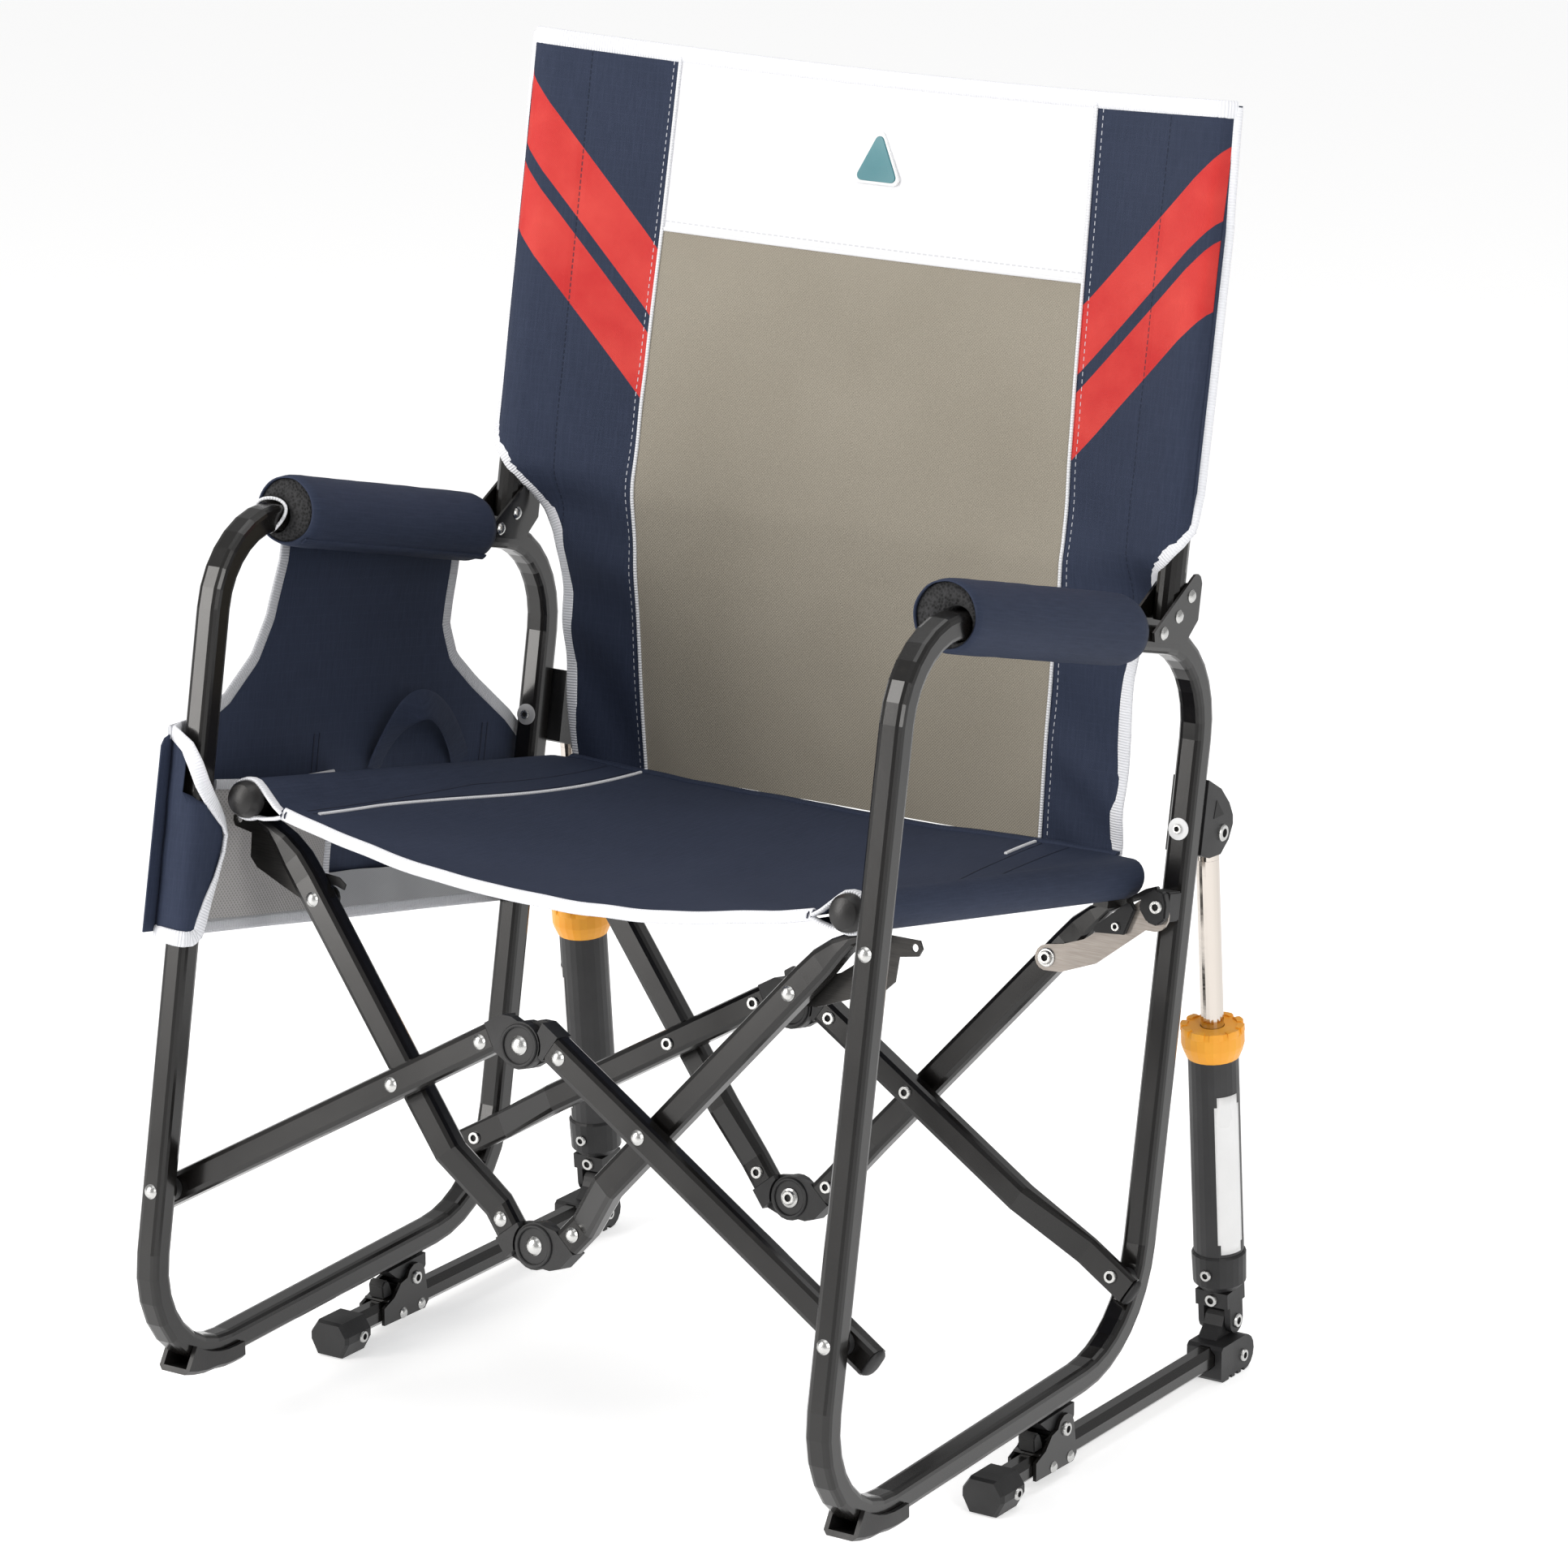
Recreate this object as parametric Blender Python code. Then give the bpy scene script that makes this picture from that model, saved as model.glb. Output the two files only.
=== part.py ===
"""Folding camp rocking chair, built as separate named sub-parts (metres, +Z up, sitter faces -Y).

Everything hangs from the empty "chair", whose origin lies on the floor under the front rivet line.
The side frames, the two folding scissors, the seat and the back share the leaning frame "lean":
x across the chair, y rearwards at right angles to the legs, z along the legs. The base rails and
the pistons are placed in the upright frame of "chair". Shapes are drawn for the right side (+X)
and mirrored for the left.
"""

from math import atan2, cos, pi, radians, sin, sqrt, tan

import bmesh
import bpy
from mathutils import Vector

# Driving dimensions
FRONT_Y = -0.2630            # front rivet line from the middle of the footprint
LEAN = radians(10.5)         # the legs lean back
LEAN_ORIGIN = (0, 0.010, 0.1730)
GAP = 0.0003                 # between pieces that touch

LEG_X = 0.262                # half the spacing of the side frames
TUBE = 0.018                 # rounded square tube of the side frames
TUBE_CORNER = 0.0045
LEG_DEPTH = 0.3865           # front leg axis to rear leg axis
LOOP = [(0, -0.1285, 0.071), (0, 0.4535, 0.060),
        (LEG_DEPTH, 0.428, 0.068), (LEG_DEPTH, -0.044, 0.086)]  # y, z, bend radius

BAR_W, BAR_D, BAR_CORNER = 0.020, 0.016, 0.004
LINK_PIVOT = (LEG_X, 0.002)            # x, z of a cross link's pivot on the leg
LINK_END = (0.0236, 0.1446)            # where its tube ends at the knuckle
BAR_END = (0.0229, 0.0149)             # where a seat bar's tube ends at its knuckle
BAR_PLATE = (0.1845, 0.207)            # rivet of the corner plate on the seat bar
CROSSING = (0.096, 0.101)              # pivot where link and bar cross
PLATE_PIVOT = (LEG_X, 0.2475)          # corner plate's pivot on the leg
KNUCKLE_PIN = (0.0195, 0.013)          # knuckle pin from the tube end: along it, beside it
KNUCKLE_R = 0.0155
RAIL_X, RAIL_Z, RAIL_R = 0.2325, 0.267, 0.011

BACK_Y = 0.330                         # axis of the back uprights
UPRIGHT_R = 0.0095
PAD_R = 0.0235

BASE_X, BASE_Z, BASE_W = 0.262, 0.0158, 0.016
BASE_PIN = (0.2826, 0.0336)            # rocking pivot: y, z
PISTON_X = 0.2575
ROD_R = 0.0079
PISTON_FOOT = (0.518, 0.0355)          # lower piston pin: y, z
PISTON_HEAD = (0.4834, 0.3909)         # upper piston pin: y, z


# ---------------------------------------------------------------- scene helpers

def clear_scene():
    for obj in list(bpy.data.objects):
        bpy.data.objects.remove(obj, do_unlink=True)


def material(name, colour, roughness, metallic):
    mat = bpy.data.materials.new(name)
    mat.use_nodes = True
    shader = mat.node_tree.nodes["Principled BSDF"]
    shader.inputs["Base Color"].default_value = (*colour, 1)
    shader.inputs["Roughness"].default_value = roughness
    shader.inputs["Metallic"].default_value = metallic
    return mat


LOOKS = {
    "frame": ((0.020, 0.019, 0.018), 0.28, 0.5),
    "plastic": ((0.030, 0.030, 0.031), 0.50, 0.0),
    "plate": ((0.42, 0.39, 0.36), 0.40, 0.9),
    "cylinder": ((0.045, 0.045, 0.045), 0.55, 0.2),
    "collar": ((0.90, 0.42, 0.03), 0.45, 0.0),
    "rod": ((0.75, 0.73, 0.70), 0.12, 1.0),
    "fabric": ((0.026, 0.036, 0.075), 0.85, 0.0),
    "mesh": ((0.30, 0.28, 0.24), 0.80, 0.0),
}


def empty(name, location, parent=None, turn_x=0.0):
    obj = bpy.data.objects.new(name, None)
    bpy.context.scene.collection.objects.link(obj)
    obj.location = location
    obj.rotation_euler = (turn_x, 0, 0)
    obj.parent = parent
    return obj


def add(name, shape, look, parent, pivot=(0, 0, 0), side=1, cutter=False):
    """Link one sub-part; shape is drawn in the parent's frame, the origin goes to the pivot."""
    if side < 0:
        bmesh.ops.scale(shape, vec=(-1, 1, 1), verts=shape.verts)
        bmesh.ops.reverse_faces(shape, faces=shape.faces)
    origin = Vector((pivot[0] * side, pivot[1], pivot[2]))
    bmesh.ops.translate(shape, vec=-origin, verts=shape.verts)
    mesh = bpy.data.meshes.new(name)
    shape.to_mesh(mesh)
    shape.free()
    mesh.shade_smooth()
    mesh.set_sharp_from_angle(angle=radians(32))
    obj = bpy.data.objects.new(name, mesh)
    bpy.context.scene.collection.objects.link(obj)
    obj.parent = parent
    obj.location = origin
    if cutter:
        obj.hide_render = True
        obj.display_type = "WIRE"
    else:
        look_name = f"{name}_{look}"
        mesh.materials.append(material(look_name, *LOOKS[look]))
    return obj


def combine(obj, shape, operation, parent, pivot=(0, 0, 0), side=1):
    """Union with, or cut by, one more shape; it stays behind as a hidden guide."""
    guide = add(f"{obj.name}_guide", shape, None, parent, pivot, side, cutter=True)
    boolean = obj.modifiers.new("join", "BOOLEAN")
    boolean.operation = operation
    boolean.solver = "EXACT"
    boolean.object = guide


# ---------------------------------------------------------------- shape helpers

def rounded_rect(width, depth, radius, steps=2):
    """Outline of a rounded rectangle, counter-clockwise, as (across, deep) pairs."""
    points = []
    for quarter in range(4):
        sx, sy = ((1, 1), (-1, 1), (-1, -1), (1, -1))[quarter]
        for step in range(steps + 1):
            angle = pi / 2 * (quarter + step / steps)
            points.append((sx * (width / 2 - radius) + radius * cos(angle),
                           sy * (depth / 2 - radius) + radius * sin(angle)))
    return points


def arc(centre, radius, start, stop, steps):
    """Points on an arc, angles in degrees."""
    return [(centre[0] + radius * cos(radians(start + (stop - start) * k / steps)),
             centre[1] + radius * sin(radians(start + (stop - start) * k / steps)))
            for k in range(steps + 1)]


def circle(radius, steps, centre=(0, 0)):
    return arc(centre, radius, 0, 360, steps)[:-1]


def round_corner(before, corner, after, radius, steps):
    """Points of the arc of the radius that blends the two edges meeting at a corner."""
    a, b = (before - corner).normalized(), (after - corner).normalized()
    half = a.angle(b) / 2
    centre = corner + (a + b).normalized() * (radius / sin(half))
    first = corner + a * (radius / tan(half))
    last = corner + b * (radius / tan(half))
    start, stop = first - centre, last - centre
    sweep = start.angle(stop)
    return [centre + (start * sin(sweep * (1 - k / steps)) + stop * sin(sweep * k / steps))
            / sin(sweep) for k in range(steps + 1)]


def closed_path(corners, steps):
    """A closed path through corners of (x, y, z, radius)."""
    places = [Vector(c[:3]) for c in corners]
    path = []
    for k, corner in enumerate(corners):
        path += round_corner(places[k - 1], places[k], places[(k + 1) % len(places)],
                             corner[3], steps)
    return path


def tangents(path, closed):
    count = len(path)
    found = []
    for k in range(count):
        ahead = path[(k + 1) % count] if closed or k < count - 1 else path[k]
        behind = path[k - 1] if closed or k else path[k]
        found.append((ahead - behind).normalized())
    return found


def outward(shape):
    """Turn all faces of a closed shape outwards."""
    bmesh.ops.recalc_face_normals(shape, faces=shape.faces)
    if shape.calc_volume(signed=True) < 0:
        bmesh.ops.reverse_faces(shape, faces=shape.faces)
    return shape


def bridge(shape, rings, closed):
    """Skin a row of equal rings, with end faces unless the row is closed."""
    verts = [[shape.verts.new(p) for p in ring] for ring in rings]
    pairs = list(zip(verts, verts[1:]))
    if closed:
        pairs.append((verts[-1], verts[0]))
    size = len(rings[0])
    for low, high in pairs:
        for k in range(size):
            j = (k + 1) % size
            shape.faces.new((low[k], low[j], high[j], high[k]))
    if not closed:
        shape.faces.new(verts[0][::-1])
        shape.faces.new(verts[-1])
    return outward(shape)


def sweep(path, sections, deep, closed=False):
    """Sweep sections of (across, deep) pairs along a path; one section serves every point."""
    path = [Vector(p) for p in path]
    deep = Vector(deep)
    if isinstance(sections[0][0], float):
        sections = [sections] * len(path)
    rings = []
    for place, along, section in zip(path, tangents(path, closed), sections):
        up = (deep - along * deep.dot(along)).normalized()
        across = along.cross(up)
        rings.append([place + across * u + up * v for u, v in section])
    return bridge(bmesh.new(), rings, closed)


def prism(outline, axis, low, high):
    """Extrude an outline along x, y or z; its pairs are the two other axes in order."""
    def place(pair, depth):
        values = list(pair)
        values.insert("xyz".index(axis), depth)
        return values
    return bridge(bmesh.new(), [[place(p, low) for p in outline],
                                [place(p, high) for p in outline]], False)


def lathe(profile, steps, centre=(0, 0)):
    """Turn a profile of (radius, z) pairs about a vertical axis; radius 0 closes an end."""
    shape = bmesh.new()
    rings = []
    for radius, z in profile:
        if radius == 0:
            rings.append([shape.verts.new((*centre, z))])
        else:
            rings.append([shape.verts.new((x, y, z)) for x, y in circle(radius, steps, centre)])
    pairs = list(zip(rings, rings[1:]))
    if profile[0][0] and profile[-1][0]:
        pairs.append((rings[-1], rings[0]))
    for low, high in pairs:
        for k in range(steps):
            j = (k + 1) % steps
            if len(low) == 1:
                shape.faces.new((low[0], high[j], high[k]))
            elif len(high) == 1:
                shape.faces.new((low[k], low[j], high[0]))
            else:
                shape.faces.new((low[k], low[j], high[j], high[k]))
    return outward(shape)


def sheet(rows, thick, normal):
    """A closed slab under a grid of points, its thickness along minus the normal."""
    shape = bmesh.new()
    shift = Vector(normal) * -thick
    top = [[shape.verts.new(p) for p in row] for row in rows]
    low = [[shape.verts.new(Vector(p) + shift) for p in row] for row in rows]
    for grid, order in ((top, 1), (low, -1)):
        for near, far in zip(grid, grid[1:]):
            for k in range(len(near) - 1):
                shape.faces.new((near[k], near[k + 1], far[k + 1], far[k])[::order])
    rim = [(r, 0) for r in range(len(rows))]
    rim += [(len(rows) - 1, c) for c in range(1, len(rows[0]))]
    rim += [(r, len(rows[0]) - 1) for r in range(len(rows) - 2, -1, -1)]
    rim += [(0, c) for c in range(len(rows[0]) - 2, 0, -1)]
    for (r, c), (i, j) in zip(rim, rim[1:] + rim[:1]):
        shape.faces.new((top[r][c], top[i][j], low[i][j], low[r][c]))
    return outward(shape)


def mix(a, b, share):
    return a + (b - a) * share


# ---------------------------------------------------------------- side frames

def arm_z(y):
    """Height of the armrest tube's axis at depth y in the leaning frame."""
    return mix(LOOP[1][1], LOOP[2][1], y / LEG_DEPTH)


def side_frame(label, side, lean):
    corners = [(LEG_X, y, z, radius) for y, z, radius in LOOP]
    section = rounded_rect(TUBE, TUBE, TUBE_CORNER, 3)
    add(f"side_frame_{label}", sweep(closed_path(corners, 8), section, (1, 0, 0), True),
        "frame", lean, (LEG_X, 0, 0), side)


def foot_shoe(label, side, lean):
    """U-shaped sleeve under the front bend; its open front end stands off the tube."""
    inner, wall, top = TUBE / 2 + 0.0004, 0.0125, 0.001
    front, foot, rear = [Vector((LEG_X, y, z)) for y, z, _ in (LOOP[1], LOOP[0], LOOP[3])]
    bend = round_corner(front, foot, rear, LOOP[0][2], 14)
    path = bend[9:] + [bend[-1] + (rear - foot).normalized() * 0.009]
    sections = []
    for k in range(len(path)):
        depth = mix(0.0215, 0.0135, min(k / 3, 1))
        floor = depth - 0.0040
        sections.append([(top, -wall), (top, -inner), (floor, -inner), (floor, inner),
                         (top, inner), (top, wall), (depth - 0.003, wall),
                         (depth, wall - 0.003), (depth, 0.003 - wall), (depth - 0.003, -wall)])
    add(f"foot_shoe_{label}", sweep(path, sections, (1, 0, 0)), "plastic", lean, foot, side)


def back_upright(label, side, lean):
    low, high = (LEG_X, BACK_Y, 0.445), (LEG_X, BACK_Y, 0.776)
    add(f"back_upright_{label}", sweep([low, high], circle(UPRIGHT_R, 16), (0, 1, 0)),
        "frame", lean, low, side)


def arm_bracket(label, side, lean):
    """A sheet channel that holds the back upright on the armrest tube, open to the front."""
    plate = [(0.293, 0.439), (0.295, 0.433), (0.337, 0.430), (0.341, 0.436), (0.3505, 0.446),
             (0.3505, 0.470), *arc((0.3430, 0.4695), 0.007, 20, 140, 4)]
    inner, sheet_t = UPRIGHT_R + 0.0006, 0.0018
    outer = inner + sheet_t
    name = f"arm_bracket_{label}"
    obj = add(name, prism(plate, "x", LEG_X + inner, LEG_X + outer), "frame", lean,
              (LEG_X, BACK_Y, 0.445), side)
    web = [(0.3487, 0.4450), (0.3505, 0.4472), (0.3505, 0.469), (0.3487, 0.469)]
    combine(obj, prism(web, "x", LEG_X - outer + 0.001, LEG_X + outer - 0.001), "UNION", lean,
            side=side)
    combine(obj, prism(plate, "x", LEG_X - outer, LEG_X - inner), "UNION", lean, side=side)


def arm_pad(label, side, lean):
    """Foam sleeve, sitting a little inward of and above the armrest tube."""
    ends = [(0.254, 0.057, 0.4535), (0.2562, 0.277, 0.4385)]
    obj = add(f"arm_pad_{label}", sweep(ends, circle(PAD_R, 20), (0, 0, 1)), "fabric", lean,
              ends[0], side)
    bore = [(LEG_X, y, arm_z(y)) for y in (0.02, 0.35)]
    hole = rounded_rect(TUBE + 0.002, TUBE + 0.002, TUBE_CORNER, 2)
    combine(obj, sweep(bore, hole, (1, 0, 0)), "DIFFERENCE", lean, side=side)


def piston_head(label, side, lean):
    """Rounded plastic housing behind the rear leg, slotted for the rod's eye."""
    y, z = 0.4258, 0.3005
    face = LEG_DEPTH + TUBE / 2 + GAP
    outline = [(face, 0.2870), (0.4080, 0.2845), (0.4235, 0.2865), (0.4325, 0.2960),
               (0.4362, 0.3065), (0.4348, 0.3125), (0.4280, 0.3210), (0.4145, 0.3310),
               (face, 0.3375)]
    obj = add(f"piston_head_{label}", prism(outline, "x", PISTON_X - 0.0135, PISTON_X + 0.0135),
              "plastic", lean, (PISTON_X, y, z), side)
    slot = [(y - 0.0110, z - 0.04), (y + 0.0082, z - 0.04), (y + 0.0082, z + 0.0040),
            (y + 0.0040, z + 0.0095), (y - 0.0110, z + 0.0095)]
    combine(obj, prism(slot, "x", PISTON_X - 0.0062, PISTON_X + 0.0062), "DIFFERENCE", lean,
            side=side)


def pivot_lug(label, side, chair):
    """Hangs from the side frame's bottom rail and carries the rocking pin."""
    y, z = BASE_PIN
    outline = [(0.2545, 0.0453), (0.2640, 0.0380), *arc((y, z), 0.0078, 190, 350, 8),
               (0.2960, 0.0345), (0.2985, 0.0375), (0.2985, 0.0466)]
    obj = add(f"pivot_lug_{label}", prism(outline, "x", BASE_X - 0.0075, BASE_X + 0.0075),
              "plastic", chair, (BASE_X, y, z), side)
    combine(obj, prism(circle(0.0034, 12, (y, z)), "x", BASE_X - 0.02, BASE_X + 0.02),
            "DIFFERENCE", chair, side=side)


# ---------------------------------------------------------------- rocking base and pistons

def octagon(width, centre):
    half, cut = width / 2, width * 0.27
    return [(centre[0] + sx * a, centre[1] + sy * b)
            for sx, sy, a, b in ((1, -1, half - cut, half), (1, -1, half, half - cut),
                                 (1, 1, half, half - cut), (1, 1, half - cut, half),
                                 (-1, 1, half - cut, half), (-1, 1, half, half - cut),
                                 (-1, -1, half, half - cut), (-1, -1, half - cut, half))]


def base_rail(label, side, chair):
    add(f"base_rail_{label}", prism(octagon(BASE_W, (BASE_X, BASE_Z)), "y", 0.2005, 0.5145),
        "frame", chair, (BASE_X, *BASE_PIN), side)


def base_cap(label, side, chair):
    """Plastic end cap of the rail: an eight-sided block with a shallow dome in front."""
    half, height = 0.0158, 0.0252
    stations = [(0.2215, 1), (0.1965, 1), (0.1935, 0.90)]  # y, size
    rings = []
    for y, size in stations:
        rings.append([(BASE_X + half * size * u, y, height / 2 * (1 + size * v))
                      for u, v in ((0.62, -1), (1, -0.12), (1, 0.30), (0.62, 1),
                                   (-0.62, 1), (-1, 0.30), (-1, -0.12), (-0.62, -1))])
    obj = add(f"base_cap_{label}", bridge(bmesh.new(), rings, False), "plastic", chair,
              (BASE_X, *BASE_PIN), side)
    bed = octagon(BASE_W + 0.0007, (BASE_X, BASE_Z))
    combine(obj, prism(bed, "y", 0.2000, 0.24), "DIFFERENCE", chair, side=side)


def base_socket(label, side, chair):
    """Plastic end socket with the upright lug that the piston's fork straddles."""
    outline = [(0.4875, 0.0025), (0.4900, 0), *arc((0.5205, 0.0126), 0.0126, -90, 90, 8),
               (0.4900, 0.0252), (0.4875, 0.0230)]
    obj = add(f"base_socket_{label}", prism(outline, "x", BASE_X - 0.0135, BASE_X + 0.0135),
              "plastic", chair, (BASE_X, *BASE_PIN), side)
    y, z = PISTON_FOOT
    lug = [(0.498, 0.024), (0.531, 0.024), (y + 0.0094, 0.0330), *arc((y, z), 0.0095, 5, 175, 8),
           (y - 0.0110, 0.0330)]
    combine(obj, prism(lug, "x", PISTON_X - 0.0072, PISTON_X + 0.0072), "UNION", chair, side=side)
    hole = octagon(BASE_W + 0.0007, (BASE_X, BASE_Z))
    combine(obj, prism(hole, "y", 0.45, 0.515), "DIFFERENCE", chair, side=side)
    combine(obj, prism(circle(0.0029, 12, (y, z)), "x", 0.23, 0.29), "DIFFERENCE", chair,
            side=side)
    for k in range(3):
        rib = 0.4985 + 0.0085 * k
        groove = [(rib, -0.01), (rib + 0.004, -0.01), (rib + 0.004, 0.0022), (rib, 0.0022)]
        combine(obj, prism(groove, "x", 0.23, 0.29), "DIFFERENCE", chair, side=side)


def base_bracket(label, side, chair):
    """Two plates on the base rail, joined by a web, with the rocking pin between them."""
    y, z = BASE_PIN
    plate = [(0.2447, 0.0090), (0.2925, 0.0080), (0.2970, 0.0125), (0.2955, 0.0215),
             *arc((y, z), 0.0105, 15, 165, 5), (0.2648, 0.0345), (0.2567, 0.0262),
             (0.2447, 0.0215)]
    inner, outer = BASE_W / 2 + GAP, BASE_W / 2 + 0.0028
    obj = add(f"base_bracket_{label}", prism(plate, "x", BASE_X + inner, BASE_X + outer),
              "frame", chair, (BASE_X, y, z), side)
    top = BASE_Z + BASE_W / 2 + GAP
    web = [(0.2500, top), (0.2660, top), (0.2660, top + 0.0015), (0.2500, top + 0.0015)]
    combine(obj, prism(web, "x", BASE_X - outer + 0.001, BASE_X + outer - 0.001), "UNION",
            chair, side=side)
    combine(obj, prism(plate, "x", BASE_X - outer, BASE_X - inner), "UNION", chair, side=side)
    pin = circle(0.0030, 12, (y, z))
    combine(obj, prism(pin, "x", BASE_X - outer + 0.001, BASE_X + outer - 0.001), "UNION",
            chair, side=side)


def piston(label, side, foot, length):
    """Pieces of one piston, drawn about its lower pin with the stroke axis along z."""
    block = [(-0.0120, 0.0125), (0.0120, 0.0125), (0.0120, 0.0236), (-0.0120, 0.0236)]
    link = add(f"piston_link_{label}", prism(block, "x", -0.0125, 0.0125), "plastic", foot,
               side=side)
    ear = [(-0.0088, 0.0150), (-0.0088, 0), *arc((0, 0), 0.0088, 190, 350, 7), (0.0088, 0),
           (0.0088, 0.0150)]
    for low in (-0.0124, 0.0080):
        combine(link, prism(ear, "x", low, low + 0.0044), "UNION", foot, side=side)
    combine(link, prism(circle(0.0025, 12), "x", -0.0100, 0.0100), "UNION", foot, side=side)

    turned = [
        ("piston_cap", "plastic", [(0, 0.0240), (0.0135, 0.0240), (0.0182, 0.0290),
                                   (0.0187, 0.0500), (0.0176, 0.0515), (0.0176, 0.0300),
                                   (0, 0.0300)]),
        ("piston_cylinder", "cylinder", [(0, 0.0303), (0.01725, 0.0303), (0.01725, 0.1942),
                                         (0.0152, 0.1942), (0.0152, 0.0335), (0, 0.0335)]),
        ("piston_collar", "collar", [(0.0083, 0.1945), (0.0180, 0.1945), (0.0205, 0.2005),
                                     (0.0215, 0.2040), (0.0215, 0.2125), (0.0200, 0.2165),
                                     (0.0083, 0.2165)]),
    ]
    for stem, look, profile in turned:
        add(f"{stem}_{label}", lathe(profile, 24), look, foot, side=side)

    stem = [(0, 0.1660), (0.0148, 0.1660), (0.0148, 0.1740), (ROD_R, 0.1740),
            (ROD_R, length - 0.0200), (0, length - 0.0200)]
    rod = add(f"piston_rod_{label}", lathe(stem, 20), "rod", foot, side=side)
    eye = [(-0.0045, length - 0.0210), (0.0045, length - 0.0210),
           *arc((0, length), 0.0062, -40, 220, 14)]
    combine(rod, prism(eye, "x", -0.0040, 0.0040), "UNION", foot, side=side)


# ---------------------------------------------------------------- folding scissors

def bar_section(width, depth):
    return rounded_rect(width, depth, min(BAR_CORNER, depth * 0.3), 2)


def knuckle(name, side, lean, tube_end, along, inner_side, layer, own, pivot):
    """Plastic half of a knuckle: a neck on the tube's end and a half-thick disc on the pin.

    along points from the tube towards the knuckle and inner_side from its axis to the pin.
    """
    low, high = layer
    middle = (low + high) / 2

    def place(pairs):
        return [(tube_end[0] + along[0] * u + inner_side[0] * v,
                 tube_end[1] + along[1] * u + inner_side[1] * v) for u, v in pairs]

    half = BAR_W / 2
    cheek = [(GAP, -half), (0.0150, -half), (0.0215, -half + 0.0040),
             *arc(KNUCKLE_PIN, KNUCKLE_R, -70, 165, 14), (GAP, half)]
    neck = [(GAP, -half), (0.0150, -half), *arc(KNUCKLE_PIN, KNUCKLE_R + 0.0008, 250, 191, 6),
            (GAP, half)]
    span = (low, middle - GAP) if own == "front" else (middle + GAP, high)
    obj = add(name, prism(place(cheek), "y", *span), "plastic", lean, (pivot[0], low, pivot[1]),
              side)
    combine(obj, prism(place(neck), "y", low, high), "UNION", lean, side=side)


def unit(vector):
    size = sqrt(vector[0] ** 2 + vector[1] ** 2)
    return vector[0] / size, vector[1] / size


def from_end(end, along, back):
    """A point on a tube's axis, a distance back from its knuckle end."""
    return end[0] - along[0] * back, end[1] - along[1] * back


def cross_links(place, layer, leg_layer, lean):
    """The two lower links of one scissor, from the legs up to their shared top knuckle."""
    along = unit((LINK_END[0] - LINK_PIVOT[0], LINK_END[1] - LINK_PIVOT[1]))
    outer = from_end(LINK_PIVOT, along, 0.0105 if leg_layer else 0.020)
    middle = sum(layer) / 2
    stations = [(outer, None), (from_end(LINK_PIVOT, along, -0.030), None),
                (from_end(LINK_PIVOT, along, -0.085), middle), (LINK_END, middle)]
    inner_side = (along[1] * -1, along[0])
    for label, side in (("right", 1), ("left", -1)):
        path, sections = [], []
        for (x, z), y in stations:
            at_leg = y is None and leg_layer is not None
            y = sum(leg_layer) / 2 if at_leg else middle
            depth = leg_layer[1] - leg_layer[0] if at_leg else BAR_D
            path.append((x, y, z))
            sections.append(bar_section(BAR_W, depth))
        add(f"{place}_link_{label}", sweep(path, sections, (0, 1, 0)), "frame", lean,
            (LINK_PIVOT[0], path[0][1], LINK_PIVOT[1]), side)
        knuckle(f"{place}_top_knuckle_{label}", side, lean, LINK_END, along, inner_side,
                layer, "rear" if side > 0 else "front", (0, 0.144))


def seat_bars(place, layer, low_layer, flattened_end, lean):
    """The two bars of one scissor, from the bottom knuckle up to the seat rails.

    flattened_end holds ((x, z), y, width, depth) stations under the rail.
    """
    along = unit((BAR_END[0] - BAR_PLATE[0], BAR_END[1] - BAR_PLATE[1]))
    middle, low = sum(layer) / 2, sum(low_layer) / 2
    low_depth = low_layer[1] - low_layer[0]
    stations = [(BAR_END, low, BAR_W, low_depth),
                (from_end(BAR_END, along, 0.018), low, BAR_W, low_depth),
                (from_end(BAR_END, along, 0.060), middle, BAR_W, BAR_D),
                (from_end(BAR_PLATE, along, 0.015), middle, BAR_W, BAR_D),
                *flattened_end]
    inner_side = (along[1], along[0] * -1)
    for label, side in (("right", 1), ("left", -1)):
        path = [(x, y, z) for (x, z), y, _, _ in stations]
        sections = [bar_section(width, depth) for _, _, width, depth in stations]
        bar = add(f"{place}_seat_bar_{label}", sweep(path, sections, (0, 1, 0)), "frame", lean,
                  (CROSSING[0], middle, CROSSING[1]), side)
        if place == "rear":
            saddle = [(0.2270, 0.2500), (0.2380, 0.2500), (0.2380, 0.2553), (0.2270, 0.2553)]
            combine(bar, prism(saddle, "y", 0.3360, 0.3670), "UNION", lean, side=side)
        knuckle(f"{place}_low_knuckle_{label}", side, lean, BAR_END, along, inner_side,
                low_layer, "front" if side > 0 else "rear", (0, 0.009))


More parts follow.
